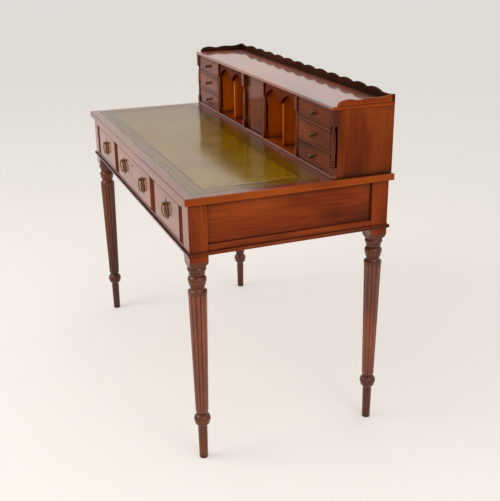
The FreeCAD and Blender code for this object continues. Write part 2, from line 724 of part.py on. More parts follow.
def build_runners():
    """Runners under the drawer sides, guides beside them and kickers over them."""
    y = (rail_back_y, inner_back_y)
    runner_z = (opening_bottom_z - s.runner_height, opening_bottom_z)
    guide_z = (opening_bottom_z, opening_bottom_z + s.guide_height)
    kicker_z = (top_under_z - s.kicker_height, top_under_z)
    ledge = s.runner_ledge
    runners = []
    guides = []
    for side_name, side in SIDES:
        for kind, inner, outer, outer_ledge in (("divider", centre_half, side_opening_in_x, ledge),
                                                ("end", side_opening_out_x, post_in_x, as_size(0))):
            wide = mirrored((inner - ledge, outer + outer_ledge), side)
            narrow = mirrored((inner, outer), side)
            runners.append(board(f"{kind}_runner_{side_name}", wide, y, runner_z))
            guides.append(board(f"{kind}_guide_{side_name}", narrow, y, guide_z))
            guides.append(board(f"{kind}_kicker_{side_name}", wide, y, kicker_z))
    group("drawer_runners", runners)
    group("drawer_guides", guides)


# ---------------------------------------------------------------- frieze drawers
def keyhole_outline(x, z, wall):
    """A keyhole's outline with its shoulder at a point, or one set out from it by a wall."""
    slot = s.keyhole_half_slot + wall
    foot_z = z - s.keyhole_slot - wall
    return [(x - slot, foot_z), (x + slot, foot_z), (x + slot, z, s.keyhole_round + wall), (x - slot, z)]


def build_frieze_drawer(label, opening, pull_places):
    """A frieze drawer in the opening between two X places, with its pulls and lock."""
    front_x = (opening[0] + s.drawer_gap, opening[1] - s.drawer_gap)
    front_z = (opening_bottom_z + s.drawer_gap, opening_top_z - s.drawer_gap)
    middle_x = (opening[0] + opening[1]) / 2
    pull_z = (front_z[0] + front_z[1]) / 2
    key_z = front_z[1] - s.keyhole_drop
    front = padded(f"{label}_front_board", "XZ_Plane", rectangle(front_x, front_z),
                   s.drawer_front_thickness, (0, frame_front_y, 0))
    round_edges(front, f"{label}_front_edge", s.drawer_front_round,
                lambda edge: lies_at(edge, "y", as_size(0)))
    holes = new_sketch(front, f"{label}_holes", "XZ_Plane")
    draw(holes, keyhole_outline(middle_x, key_z, as_size(0)))
    for x in pull_places:
        hole_in(holes, x, pull_z + s.ring_radius, s.stem_radius + s.stem_clearance)
    drilled = front.newObject("PartDesign::Pocket", f"{label}_drilling")
    drilled.Profile = holes
    drilled.Type = "ThroughAll"
    piece(front, f"{label}_front")
    build_frieze_drawer_box(label, opening)
    build_lock(label, middle_x, key_z)
    pulls = []
    for number, x in enumerate(pull_places, start=1):
        pulls += pull_fixings(f"{label}_{number}", x, pull_z)
    group(f"{label}_pull_plates" if len(pull_places) > 1 else f"{label}_pull_plate", pulls)
    return pull_z


def build_frieze_drawer_box(label, opening):
    side = s.drawer_side_thickness
    out_x = (opening[0] + s.drawer_side_gap, opening[1] - s.drawer_side_gap)
    in_x = (out_x[0] + side, out_x[1] - side)
    start_y = frame_front_y + s.drawer_front_thickness
    end_y = inner_back_y - s.drawer_back_gap
    low_z = opening_bottom_z + s.drawer_rest_gap
    side_z = (low_z, low_z + s.drawer_side_height)
    bottom_z = (low_z + s.drawer_bottom_lift,
                low_z + s.drawer_bottom_lift + s.drawer_bottom_thickness)
    back_z = (bottom_z[1], bottom_z[1] + s.drawer_back_height)
    group(f"{label}_box", [
        board(f"{label}_side_left", (out_x[0], in_x[0]), (start_y, end_y), side_z),
        board(f"{label}_side_right", (in_x[1], out_x[1]), (start_y, end_y), side_z),
        board(f"{label}_bottom", in_x, (start_y, end_y), bottom_z),
        board(f"{label}_back", in_x, (end_y - side, end_y), back_z)])


def build_lock(label, x, key_z):
    """A till lock on the inside of the front and its escutcheon on the outside."""
    inside_y = frame_front_y + s.drawer_front_thickness
    half = s.lock_width / 2
    case = board(f"{label}_lock_case", (x - half, x + half), (inside_y, inside_y + s.lock_thickness),
                 (key_z - s.lock_below_key, key_z + s.lock_above_key))
    plate = padded(f"{label}_escutcheon", "XZ_Plane",
                   keyhole_outline(as_size(0), as_size(0), s.escutcheon_wall),
                   s.escutcheon_thickness, (x, frame_front_y - s.escutcheon_thickness, key_z))
    key_sketch = new_sketch(plate, f"{label}_escutcheon_key", "XZ_Plane")
    draw(key_sketch, keyhole_outline(as_size(0), as_size(0), as_size(0)))
    key = plate.newObject("PartDesign::Pocket", f"{label}_escutcheon_hole")
    key.Profile = key_sketch
    key.Type = "ThroughAll"
    key.Reversed = False
    group(f"{label}_lock", [case, plate])


def pull_fixings(name, x, z):
    """The embossed plate, the eye on its stem, and the nut inside the drawer."""
    bead = s.plate_bead
    rim = s.plate_radius
    boss = s.plate_boss_radius
    plate = turned(f"{name}_plate", "XY_Plane",
                   [(0, -s.plate_boss_height), (boss / 2, -s.plate_boss_height), (boss, -s.plate_edge),
                    (rim - bead * 2, -s.plate_edge), (rim - bead, -bead), (rim, -s.plate_edge),
                    (rim, 0), (0, 0)],
                   (x, frame_front_y, z))
    hole = new_sketch(plate, f"{name}_plate_hole", "XZ_Plane")
    hole_in(hole, as_size(0), s.ring_radius, s.stem_radius + s.stem_clearance)
    drilled = plate.newObject("PartDesign::Pocket", f"{name}_plate_drilling")
    drilled.Profile = hole
    drilled.Type = "ThroughAll"
    drilled.Midplane = True
    eye_z = z + s.ring_radius
    eye_y = frame_front_y - s.eye_stand
    inside_y = frame_front_y + s.drawer_front_thickness
    stem = rod(f"{name}_stem", s.stem_radius, inside_y + s.stem_end - eye_y, x, eye_y, eye_z, (0, 1, 0))
    eye = rod(f"{name}_eye_round", s.eye_radius, s.eye_length, x - s.eye_length / 2, eye_y, eye_z, (1, 0, 0))
    bore = rod(f"{name}_eye_bore", s.eye_bore, s.eye_length * 2, x - s.eye_length, eye_y, eye_z, (1, 0, 0))
    eye_and_stem = cut(f"{name}_eye", fused(f"{name}_eye_blank", [stem, eye]), bore)
    nut_blank = rod(f"{name}_nut_blank", s.nut_radius, s.nut_thickness, x, inside_y, eye_z, (0, 1, 0))
    nut_bore = rod(f"{name}_nut_bore", s.stem_radius, s.nut_thickness * 2, x, inside_y - 1, eye_z, (0, 1, 0))
    return [plate, eye_and_stem, cut(f"{name}_nut", nut_blank, nut_bore)]


def build_ring(label, x, pull_z):
    """A ring that hangs in its eye, of a wire with eight flats."""
    wire = s.ring_wire
    flat = wire * math.tan(math.pi / 8)
    middle = s.ring_radius
    section = [(middle - flat, -wire), (middle + flat, -wire), (middle + wire, -flat),
               (middle + wire, flat), (middle + flat, wire), (middle - flat, wire),
               (middle - wire, flat), (middle - wire, -flat)]
    ring = turned(f"{label}_wire", "XY_Plane", section, (x, frame_front_y - s.eye_stand, pull_z))
    piece(ring, label)


def build_frieze_drawers():
    middle_side = (side_opening_in_x + side_opening_out_x) / 2
    for side_name, side in SIDES:
        opening = mirrored((side_opening_in_x, side_opening_out_x), side)
        pull_z = build_frieze_drawer(f"{side_name}_drawer", opening, [middle_side * side])
        build_ring(f"{side_name}_drawer_ring", middle_side * side, pull_z)
    centre_pulls = [s.pull_spread * side for side_name, side in SIDES]
    pull_z = build_frieze_drawer("centre_drawer", (-centre_half, centre_half), centre_pulls)
    for side_name, side in SIDES:
        build_ring(f"centre_drawer_ring_{side_name}", s.pull_spread * side, pull_z)


# ---------------------------------------------------------------- superstructure carcase
def build_upper_carcase():
    side_z = (s.writing_height, upper_ceiling_z)
    inside_z = (upper_floor_z, upper_ceiling_z)
    depth = (upper_front_y, upper_inner_back_y)
    for side_name, side in SIDES:
        side_x = mirrored((upper_side_x - s.upright_thickness, upper_side_x), side)
        piece(board(f"upper_side_board_{side_name}", side_x, (upper_front_y, upper_back_y), side_z),
              f"upper_side_{side_name}")
    inner_x = upper_side_x - s.upright_thickness
    piece(board("upper_back_board", (-inner_x, inner_x), (upper_inner_back_y, upper_back_y), side_z),
          "upper_back")
    build_upper_floor(inner_x)
    build_upper_top()
    partitions = []
    dividers = []
    for side_name, side in SIDES:
        for kind, middle in (("inner", s.partition_x), ("outer", s.drawer_partition_x)):
            x = mirrored((middle - s.upright_thickness / 2, middle + s.upright_thickness / 2), side)
            partitions.append(board(f"{kind}_partition_{side_name}", x, depth, inside_z))
        half = s.divider_thickness / 2
        x = mirrored((pigeonhole_middle_x - half, pigeonhole_middle_x + half), side)
        dividers.append(board(f"divider_board_{side_name}", x,
                              (fascia_back_y, upper_inner_back_y), inside_z))
    group("upper_partitions", partitions)
    group("pigeonhole_dividers", dividers)


def build_upper_floor(inner_x):
    """The floor board lies between the sides and comes forward under the columns."""
    floor = padded("upper_floor_board", "XY_Plane",
                   [(-upper_side_x, column_front_y), (upper_side_x, column_front_y),
                    (upper_side_x, upper_front_y), (inner_x, upper_front_y),
                    (inner_x, upper_inner_back_y), (-inner_x, upper_inner_back_y),
                    (-inner_x, upper_front_y), (-upper_side_x, upper_front_y)],
                   s.upper_floor_thickness, (0, 0, s.writing_height))
    round_edges(floor, "floor_nose", s.upper_floor_round,
                lambda edge: lies_at(edge, "y", column_front_y)
                and lies_at(edge, "z", s.upper_floor_thickness))
    piece(floor, "upper_floor")


def build_upper_top():
    reach_x = upper_side_x + s.upper_top_overhang
    front_y = column_front_y - s.upper_top_overhang
    top = padded("upper_top_board", "XY_Plane", rectangle((-reach_x, reach_x), (front_y, upper_back_y)),
                 s.upper_top_thickness, (0, 0, upper_ceiling_z))
    for name, level in (("upper", s.upper_top_thickness), ("lower", as_size(0))):
        round_edges(top, f"upper_top_{name}_arris", s.upper_top_round,
                    lambda edge: lies_at(edge, "z", level) and not lies_at(edge, "y", upper_back_y))
    piece(top, "upper_top")


def arch(start_x, end_x):
    """One pointed arch from spring to spring."""
    return [(start_x, 0, -s.arch_bow), ((start_x + end_x) / 2, s.arch_rise, -s.arch_bow), (end_x, 0)]


def build_fascias():
    """The arched boards over the pigeonholes, between the columns' blocks and before the dividers."""
    width = pigeonhole_out_x - pigeonhole_in_x
    edge = s.arch_edge
    half = s.divider_thickness / 2
    outline = [(0, 0)] + arch(edge, width / 2 - half) + arch(width / 2 + half, width - edge)
    outline += [(width, 0), (width, s.fascia_height), (0, s.fascia_height)]
    fascias = []
    for side_name, side in SIDES:
        x = mirrored((pigeonhole_in_x, pigeonhole_out_x), side)
        fascias.append(padded(f"fascia_{side_name}", "XZ_Plane", outline, s.fascia_thickness,
                              (x[0], fascia_back_y - s.fascia_thickness,
                               upper_ceiling_z - s.fascia_height)))
    group("arch_fascias", fascias)


# ---------------------------------------------------------------- columns
def column_outline():
    """Half of a column's turned section, from its base block up: rings, a vase and a flare."""
    low = s.column_base_block
    height = upper_ceiling_z - upper_floor_z
    top = height - s.column_top_block
    waist = s.column_waist_radius
    outline = [(0, low), (waist, low)]
    level = low + s.column_ring_gap / 2
    for ring in range(COLUMN_RINGS):
        outline += [(waist, level, s.column_ring_rise), (waist, level + s.column_ring_height)]
        level = level + s.column_ring_height + s.column_ring_gap
    outline += [(waist, level, s.column_vase_bow),
                (s.column_neck_radius, top - s.column_flare_height, -0.8),
                (s.column_flare_radius, top), (0, top)]
    return outline


def build_columns():
    """Six slender columns that stand on the floor board in front of the uprights."""
    half = s.upright_thickness / 2
    columns = []
    for side_name, side in SIDES:
        for kind, x in (("inner", s.partition_x), ("outer", s.drawer_partition_x),
                        ("corner", upper_side_x - half)):
            name = f"column_{kind}_{side_name}"
            body = turned(name, "XZ_Plane", column_outline(),
                          (x * side, column_front_y + half, upper_floor_z))
            add_block(body, f"{name}_base", as_size(0), s.column_base_block)
            height = upper_ceiling_z - upper_floor_z
            add_block(body, f"{name}_head", height - s.column_top_block, s.column_top_block)
            columns.append(body)
    group("columns", columns)


def add_block(body, name, level, height):
    half = s.upright_thickness / 2
    sketch = new_sketch(body, f"{name}_square", "XY_Plane", level)
    draw(sketch, rectangle((-half, half), (-half, half)))
    pad = body.newObject("PartDesign::Pad", f"{name}_block")
    pad.Profile = sketch
    bind(pad, "Length", height)


# ---------------------------------------------------------------- small drawers
def build_small_drawers():
    shelves = []
    for side_name, side in SIDES:
        opening = mirrored((small_opening_in_x, small_opening_out_x), side)
        for number, level_name in enumerate(SMALL_DRAWER_LEVELS):
            low_z = upper_floor_z + (small_opening_height + s.shelf_thickness) * number
            build_small_drawer(f"small_drawer_{side_name}_{level_name}", opening, low_z)
            if number:
                shelves.append(board(f"small_shelf_{side_name}_{number}", opening,
                                     (small_front_y, upper_inner_back_y),
                                     (low_z - s.shelf_thickness, low_z)))
    group("small_drawer_shelves", shelves)


def build_small_drawer(label, opening, low_z):
    gap = s.small_gap
    front_x = (opening[0] + gap, opening[1] - gap)
    front_z = (low_z + s.small_rest_gap, low_z + small_opening_height - gap)
    front = padded(f"{label}_front", "XZ_Plane", rectangle(front_x, front_z),
                   s.small_front_thickness, (0, small_front_y, 0))
    bead_sketch = new_sketch(front, f"{label}_bead_outline", "XZ_Plane")
    draw(bead_sketch, rectangle(front_x, front_z))
    bead = s.cockbead_width
    draw(bead_sketch, rectangle((front_x[0] + bead, front_x[1] - bead),
                                (front_z[0] + bead, front_z[1] - bead)))
    cockbead = front.newObject("PartDesign::Pad", f"{label}_cockbead")
    cockbead.Profile = bead_sketch
    bind(cockbead, "Length", s.cockbead_proud)
    knob_x = (opening[0] + opening[1]) / 2
    knob_z = low_z + small_opening_height / 2
    holes = new_sketch(front, f"{label}_knob_hole", "XZ_Plane")
    hole_in(holes, knob_x, knob_z, s.knob_shank_radius + s.knob_shank_clearance)
    drilled = front.newObject("PartDesign::Pocket", f"{label}_drilling")
    drilled.Profile = holes
    drilled.Type = "ThroughAll"
    side = s.small_side_thickness
    in_x = (front_x[0] + side, front_x[1] - side)
    start_y = small_front_y + s.small_front_thickness
    end_y = upper_inner_back_y - s.small_back_gap
    side_z = (front_z[0], front_z[1] - side)
    bottom_z = (front_z[0], front_z[0] + s.small_bottom_thickness)
    group(label, [
        front,
        board(f"{label}_side_left", (front_x[0], in_x[0]), (start_y, end_y), side_z),
        board(f"{label}_side_right", (in_x[1], front_x[1]), (start_y, end_y), side_z),
        board(f"{label}_bottom", in_x, (start_y, end_y), bottom_z),
        board(f"{label}_back", in_x, (end_y - side, end_y), (bottom_z[1], side_z[1]))])
    build_knob(f"{label}_knob", knob_x, knob_z)


def build_knob(label, x, z):
    """A turned brass knob with its screw through the drawer front."""
    shank_end = s.small_front_thickness
    outline = [(0, -s.knob_reach), (s.knob_face_radius, -s.knob_reach),
               (s.knob_radius, s.knob_radius - s.knob_reach - s.knob_face_radius),
               (s.knob_radius, -s.knob_head_start - 2), (s.knob_neck_radius, -s.knob_head_start),
               (s.knob_neck_radius, -s.knob_base_height), (s.knob_base_radius, -s.knob_base_height),
               (s.knob_base_radius, 0), (s.knob_shank_radius, 0), (s.knob_shank_radius, shank_end),
               (0, shank_end)]
    piece(turned(f"{label}_brass", "XY_Plane", outline, (x, small_front_y, z)), label)


# ---------------------------------------------------------------- centre door
def build_door():
    half = door_opening_x - s.door_gap
    door_z = (upper_floor_z + s.door_end_gap, upper_ceiling_z - s.door_end_gap)
    piece(board("door_board", (-half, half), (door_front_y, door_front_y + s.door_thickness), door_z),
          "centre_door")
    frame_leaves = []
    door_leaves = []
    for name, middle_z in (("lower", door_z[0] + s.hinge_from_end),
                           ("upper", door_z[1] - s.hinge_from_end)):
        frame_leaves += hinge_frame_leaf(name, middle_z)
        door_leaves.append(hinge_door_leaf(name, half, middle_z))
    group("door_hinges", frame_leaves)
    group("door_hinge_leaves", door_leaves)


def hinge_pin_place():
    return s.hinge_pin_in - (door_opening_x - s.door_gap), door_front_y - s.hinge_pin_out


def hinge_frame_leaf(name, middle_z):
    """The leaf on the partition with its two knuckles, and the pin that they hold."""
    pin_x, pin_y = hinge_pin_place()
    length = s.hinge_knuckle_length
    clear_y = pin_y + s.hinge_knuckle_radius + s.hinge_knuckle_gap
    low_z = middle_z - length * 1.5
    high_z = middle_z + length * 1.5
    plate_x = (-door_opening_x, s.hinge_leaf_thickness - door_opening_x)
    solids = [board(f"{name}_frame_plate", plate_x, (clear_y, door_front_y + s.hinge_leaf_depth),
                    (low_z, high_z))]
    for end_name, start_z in (("low", low_z), ("high", high_z - length)):
        solids.append(rod(f"{name}_frame_knuckle_{end_name}", s.hinge_knuckle_radius, length,
                          pin_x, pin_y, start_z, (0, 0, 1)))
        solids.append(board(f"{name}_frame_tab_{end_name}", plate_x, (pin_y, clear_y),
                            (start_z, start_z + length)))
    solids.append(rod(f"{name}_pin", s.hinge_pin_radius, length * 3, pin_x, pin_y, low_z, (0, 0, 1)))
    return [fused(f"{name}_frame_leaf", solids)]


def hinge_door_leaf(name, half, middle_z):
    """The leaf on the door's edge with the middle knuckle."""
    pin_x, pin_y = hinge_pin_place()
    length = s.hinge_knuckle_length
    gap = s.hinge_knuckle_gap
    clear_y = pin_y + s.hinge_knuckle_radius + gap
    plate_x = (-half - s.hinge_leaf_thickness, -half)
    knuckle_z = (middle_z - length / 2 + gap, middle_z + length / 2 - gap)
    solids = [board(f"{name}_door_plate", plate_x, (clear_y, door_front_y + s.hinge_leaf_depth),
                    (middle_z - length * 1.5, middle_z + length * 1.5)),
              rod(f"{name}_door_knuckle", s.hinge_knuckle_radius, knuckle_z[1] - knuckle_z[0],
                  pin_x, pin_y, knuckle_z[0], (0, 0, 1)),
              board(f"{name}_door_tab", plate_x, (pin_y, clear_y), knuckle_z)]
    bore = rod(f"{name}_door_bore", s.hinge_pin_radius + s.hinge_pin_fit, length, pin_x, pin_y,
               middle_z - length / 2, (0, 0, 1))
    return cut(f"{name}_door_leaf", fused(f"{name}_door_leaf_blank", solids), bore)


# ---------------------------------------------------------------- gallery
def build_gallery():
    """A low scalloped gallery along the back and a waved one on each side."""
    thickness = s.gallery_thickness
    width = s.scallop_width
    dip = s.gallery_valley
    end_x = width * SCALLOPS_EACH_SIDE
    outline = [(-upper_side_x, 0), (upper_side_x, 0), (upper_side_x, s.gallery_corner, -s.gallery_end_bow)]
    outline += [(end_x - width * number, dip, s.scallop_rise) for number in range(SCALLOPS_EACH_SIDE * 2)]
    outline += [(-end_x, dip, -s.gallery_end_bow), (-upper_side_x, s.gallery_corner)]
    piece(padded("gallery_back_board", "XZ_Plane", outline, thickness,
                 (0, upper_back_y - thickness, upper_top_z)), "gallery_back")
    length = s.upper_depth - thickness
    sweep = s.side_gallery_sweep
    high = s.side_gallery_rise
    bow = s.side_wave_bow
    wave = (length - sweep) / 4
    side_outline = [(0, 0), (length, 0), (length, s.gallery_corner, -bow * 1.5),
                    (length - wave * 1.3, high + 1, bow), (length - wave * 2.4, high, -bow),
                    (sweep + wave * 0.9, high, bow * 1.3),
                    (sweep, high, s.side_gallery_bow), (0, s.side_gallery_front)]
    for side_name, side in SIDES:
        x = mirrored((upper_side_x - thickness, upper_side_x), side)
        piece(padded(f"gallery_{side_name}_board", "YZ_Plane", side_outline, thickness,
                     (x[0], upper_front_y, upper_top_z)), f"gallery_{side_name}")


# ---------------------------------------------------------------- the whole desk
def check_document():
    """Stops on any object that failed and on any piece without a sound shape."""
    for obj in doc.Objects:
        if "Invalid" in obj.State or "Error" in obj.State:
            raise RuntimeError(f"{obj.Label} failed: {obj.State}")
    for obj in PIECES:
        if obj.Shape.isNull() or not obj.Shape.isValid() or not obj.Shape.Solids:
            raise RuntimeError(f"{obj.Label} has no sound shape")


def main():
    build_top()
    build_legs()
    build_front_frame()
    build_panels()
    build_base_moulding()
    build_runners()
    build_frieze_drawers()
    build_upper_carcase()
    build_fascias()
    build_columns()
    build_small_drawers()
    build_door()
    build_gallery()
    doc.recompute()
    check_document()
    os.makedirs("parts", exist_ok=True)
    for obj in PIECES:
        obj.Shape.exportStep(os.path.join("parts", f"{obj.Label}.step"))
        print(f"{obj.Label}: {len(obj.Shape.Solids)} solid(s), {obj.Shape.Volume / 1000:.1f} cm3")


main()
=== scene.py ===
"""Looks of the bonheur du jour: French-polished mahogany, an antiqued green leather top and old brass.

Metres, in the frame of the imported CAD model: +X to the sitter's right, -Y to the sitter, +Z up.
The sizes and outlines that are listed for the desk's own parts are in millimetres.
"""
import json
import math

import bmesh
import bpy
from mathutils import Matrix, Vector

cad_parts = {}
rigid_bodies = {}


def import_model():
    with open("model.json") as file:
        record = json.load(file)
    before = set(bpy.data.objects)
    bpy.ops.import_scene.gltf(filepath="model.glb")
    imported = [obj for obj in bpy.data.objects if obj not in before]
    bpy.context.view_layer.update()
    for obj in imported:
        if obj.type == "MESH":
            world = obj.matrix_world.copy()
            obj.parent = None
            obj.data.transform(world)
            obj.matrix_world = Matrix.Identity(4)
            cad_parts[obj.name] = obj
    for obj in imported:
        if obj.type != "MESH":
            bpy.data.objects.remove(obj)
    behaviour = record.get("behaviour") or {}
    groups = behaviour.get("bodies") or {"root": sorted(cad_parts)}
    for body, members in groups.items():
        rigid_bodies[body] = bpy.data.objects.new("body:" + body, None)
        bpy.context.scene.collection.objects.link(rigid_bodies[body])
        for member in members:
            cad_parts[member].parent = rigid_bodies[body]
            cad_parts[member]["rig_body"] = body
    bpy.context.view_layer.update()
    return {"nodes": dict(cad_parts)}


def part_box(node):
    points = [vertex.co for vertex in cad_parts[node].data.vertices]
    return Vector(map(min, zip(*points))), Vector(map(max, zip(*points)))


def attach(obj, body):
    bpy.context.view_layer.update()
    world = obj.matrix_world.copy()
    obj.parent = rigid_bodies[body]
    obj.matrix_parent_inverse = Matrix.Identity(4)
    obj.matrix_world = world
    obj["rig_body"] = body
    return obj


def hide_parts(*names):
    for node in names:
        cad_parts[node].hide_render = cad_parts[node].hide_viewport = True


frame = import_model()
NODES = frame["nodes"]
MM = 0.001
AXES = {"x": 0, "y": 1, "z": 2}
SIDES = ("left", "right")
LEVELS = ("bottom", "middle", "top")


# ---------------------------------------------------------------- materials
class Look:
    """A material while it is made: nodes are added by kind and fed by socket name."""

    def __init__(self, name, slot=None):
        self.material = bpy.data.materials.new(name)
        self.material.use_nodes = True
        self.tree = self.material.node_tree
        self.shader = self.tree.nodes["Principled BSDF"]

    def add(self, kind, inputs=None, **settings):
        node = self.tree.nodes.new("ShaderNode" + kind)
        for key, value in settings.items():
            setattr(node, key, value)
        for name, value in (inputs or {}).items():
            self.feed(node, name, value)
        return node

    def feed(self, node, name, value):
        """Sets a socket, or wires it where the value is another node's socket."""
        socket = node.inputs[name]
        if isinstance(value, bpy.types.NodeSocket):
            self.tree.links.new(value, socket)
        else:
            socket.default_value = value

    def finish(self, **values):
        """Feeds the shader's sockets, whose names are written with underscores."""
        for name, value in values.items():
            self.feed(self.shader, name.replace("_", " "), value)

    def place(self):
        """Object coordinates in metres, moved by a different amount on each piece."""
        coordinates = self.add("TexCoord").outputs["Object"]
        drift = self.add("ObjectInfo").outputs["Random"]
        moved = self.add("VectorMath", {0: (7.3, 5.1, 9.7), "Scale": drift}, operation="SCALE")
        return self.add("VectorMath", {0: coordinates, 1: moved.outputs[0]}, operation="ADD").outputs[0]

    def stretched(self, place, grain, along):
        """Coordinates in which a pattern runs long in the direction of the grain."""
        scale = [1.0, 1.0, 1.0]
        scale[AXES[grain]] = along
        return self.add("Mapping", {"Vector": place, "Scale": scale}).outputs[0]

    def noise(self, place, scale, detail=3.0, roughness=0.5, distortion=0.0):
        inputs = {"Vector": place, "Scale": scale, "Detail": detail, "Roughness": roughness,
                  "Distortion": distortion}
        return self.add("TexNoise", inputs).outputs["Fac"]

    def math(self, operation, first, second=0.0):
        return self.add("Math", {0: first, 1: second}, operation=operation).outputs[0]

    def blended(self, first, second, share):
        """The first value, with a share of the second one."""
        kept = self.math("MULTIPLY", first, 1 - share)
        return self.math("ADD", kept, self.math("MULTIPLY", second, share))

    def inverse(self, value):
        return self.math("SUBTRACT", 1.0, value)

    def band(self, value, low, high):
        """0 below low, 1 above high, smooth between."""
        inputs = {"Value": value, "From Min": low, "From Max": high}
        return self.add("MapRange", inputs, interpolation_type="SMOOTHSTEP").outputs[0]

    def ramp(self, value, stops):
        node = self.add("ValToRGB", {"Fac": value})
        elements = node.color_ramp.elements
        while len(elements) < len(stops):
            elements.new(0.5)
        for element, (position, colour) in zip(elements, stops):
            element.position = position
            element.color = (*colour, 1.0)
        return node.outputs[0]

    def mixed(self, share, first, second):
        """Two colours mixed by a share. Either may be a plain colour."""
        node = self.add("Mix", data_type="RGBA")
        for index, value in ((0, share), (6, first), (7, second)):
            if isinstance(value, bpy.types.NodeSocket):
                self.tree.links.new(value, node.inputs[index])
            else:
                node.inputs[index].default_value = value if index == 0 else (*value, 1.0)
        return node.outputs[2]

    def bump(self, height, distance, strength):
        inputs = {"Height": height, "Distance": distance, "Strength": strength}
        return self.add("Bump", inputs).outputs[0]

    def hidden_share(self, reach, low, high):
        """How deep a point lies in a corner: 0 in the open, 1 in a tight corner."""
        open_share = self.add("AmbientOcclusion", {"Distance": reach}, samples=8).outputs["AO"]
        return self.inverse(self.band(open_share, low, high))


# painted shade with dirt: the dark colour of the corners and crevices, how strongly crevices take it,
# and how much of the coat they lose
SHADE_AND_DIRT = (0.016, 0.006, 0.003)
PORE_SHARE = 0.5
CREVICE_SHADE_AND_DIRT = 0.94
CREVICE_GLOSS_SHADE = 0.9


def mahogany(name, grain, tones, polish, streaks=0.34, least_shade_and_dirt=0.55):
    """Polished mahogany: a broad cloudy figure, fine streaks, pores, and painted shade with dirt in the
    corners and crevices, where the coat is also thinned as painted shade on its reflection.

    Streaks is the share of the streaks in the figure, and the last argument the least share of the
    painted shade and dirt in a corner.
    """
    dark, middle, light = tones
    coat_index, under_gloss, coat_share, coat_blur = polish
    look = Look(name, "mahogany")
    place = look.place()
    cloud = look.noise(look.stretched(place, grain, 0.28), 9.0, distortion=0.7)
    streak = look.noise(look.stretched(place, grain, 0.035), 210.0, detail=4.0, roughness=0.6)
    pores = look.noise(look.stretched(place, grain, 0.03), 1500.0, detail=2.0)
    figure = look.blended(cloud, streak, streaks)
    wood = look.ramp(figure, [(0.34, dark), (0.5, middle), (0.66, light)])
    pored = look.mixed(look.math("MULTIPLY", look.band(pores, 0.56, 0.7), PORE_SHARE), wood, dark)
    # painted shade with dirt: darker where the wood lies deep in a corner, more in some patches than in
    # others
    corners = look.hidden_share(28 * MM, 0.34, 0.99)
    patches = look.band(look.noise(place, 26.0, detail=4.0, roughness=0.6), 0.3, 0.7)
    least = look.math("ADD", look.math("MULTIPLY", patches, 1 - least_shade_and_dirt), least_shade_and_dirt)
    patchy_corner_shade = look.math("MULTIPLY", corners, least)
    # painted shade with dirt in tight crevices, and painted shade on the coat's reflection there
    crevice_shade = look.hidden_share(6 * MM, 0.2, 0.85)
    shade_and_dirt = look.math("MAXIMUM", patchy_corner_shade, look.math("MULTIPLY", crevice_shade, CREVICE_SHADE_AND_DIRT))
    gloss_out_of_shade = look.inverse(look.math("MULTIPLY", crevice_shade, CREVICE_GLOSS_SHADE))
    look.finish(Base_Color=look.mixed(shade_and_dirt, pored, SHADE_AND_DIRT), Roughness=0.42,
                Specular_IOR_Level=under_gloss, Coat_Roughness=coat_blur, Coat_IOR=coat_index,
                Coat_Weight=look.math("MULTIPLY", gloss_out_of_shade, coat_share),
                Normal=look.bump(pores, 0.0002, 0.35), Coat_Normal=look.bump(cloud, 0.0006, 0.25))
    return look.material


def lining_wood():
    """The plain brown wood inside the drawers, dull and open-grained."""
    look = Look("lining_wood", "drawer_lining")
    place = look.place()
    cloud = look.noise(look.stretched(place, "y", 0.12), 14.0, detail=4.0, roughness=0.55,
                       distortion=0.4)
    pores = look.noise(look.stretched(place, "y", 0.03), 900.0, detail=2.0)
    wood = look.ramp(cloud, [(0.3, (0.2, 0.1, 0.045)), (0.52, (0.33, 0.18, 0.09)),
                             (0.72, (0.42, 0.25, 0.13))])
    pore = look.math("MULTIPLY", look.band(pores, 0.55, 0.7), PORE_SHARE)
    pored = look.mixed(pore, wood, (0.1, 0.045, 0.02))
    # painted shade with dirt: darker in the drawer's corners
    shade_and_dirt = look.math("MULTIPLY", look.hidden_share(20 * MM, 0.2, 0.9), 0.55)
    look.finish(Base_Color=look.mixed(shade_and_dirt, pored, (0.05, 0.025, 0.012)), Roughness=0.62,
                Specular_IOR_Level=0.3, Normal=look.bump(pores, 0.0003, 0.4))
    return look.material


def tooled_leather(box):
    """Olive leather, rubbed paler in clouds, darker along its border, with stained tooled lines."""
    look = Look("green_leather", "green_leather")
    place = look.add("TexCoord").outputs["Object"]
    cloud = look.noise(place, 5.5, detail=4.0, roughness=0.55, distortion=0.5)
    mottle = look.noise(place, 48.0, detail=4.0, roughness=0.65, distortion=0.6)
    crackle = look.noise(look.stretched(place, "x", 0.4), 150.0, roughness=0.6, distortion=0.8)
    cells = look.add("TexVoronoi", {"Vector": place, "Scale": 420.0}, feature="SMOOTH_F1")
    share = look.blended(cloud, mottle, 0.2)
    hide = look.ramp(share, [(0.3, (0.42, 0.23, 0.004)), (0.48, (0.55, 0.31, 0.005)),
                             (0.66, (0.64, 0.39, 0.012))])
    inset = edge_distance(look, place, box)
    border = look.band(inset, 46 * MM, 30 * MM)
    rubbed = look.mixed(look.math("MULTIPLY", border, 0.6), hide, (0.3, 0.14, 0.012))
    stain = look.band(inset, 4 * MM, 0.5 * MM)
    for centre, half_width in TOOLED_LINES:
        stain = look.math("MAXIMUM", stain, stripe(look, inset, centre * MM, half_width * MM))
    lined = look.mixed(look.math("MULTIPLY", stain, 0.92), rubbed, (0.02, 0.01, 0.005))
    look.finish(Base_Color=lined, Roughness=0.2, Specular_IOR_Level=1.0, Coat_Weight=1.0,
                Coat_Roughness=0.12, Coat_IOR=2.1, Coat_Normal=look.bump(crackle, 0.0005, 0.1),
                Normal=look.bump(cells.outputs["Distance"], 0.0003, 0.06))
    return look.material


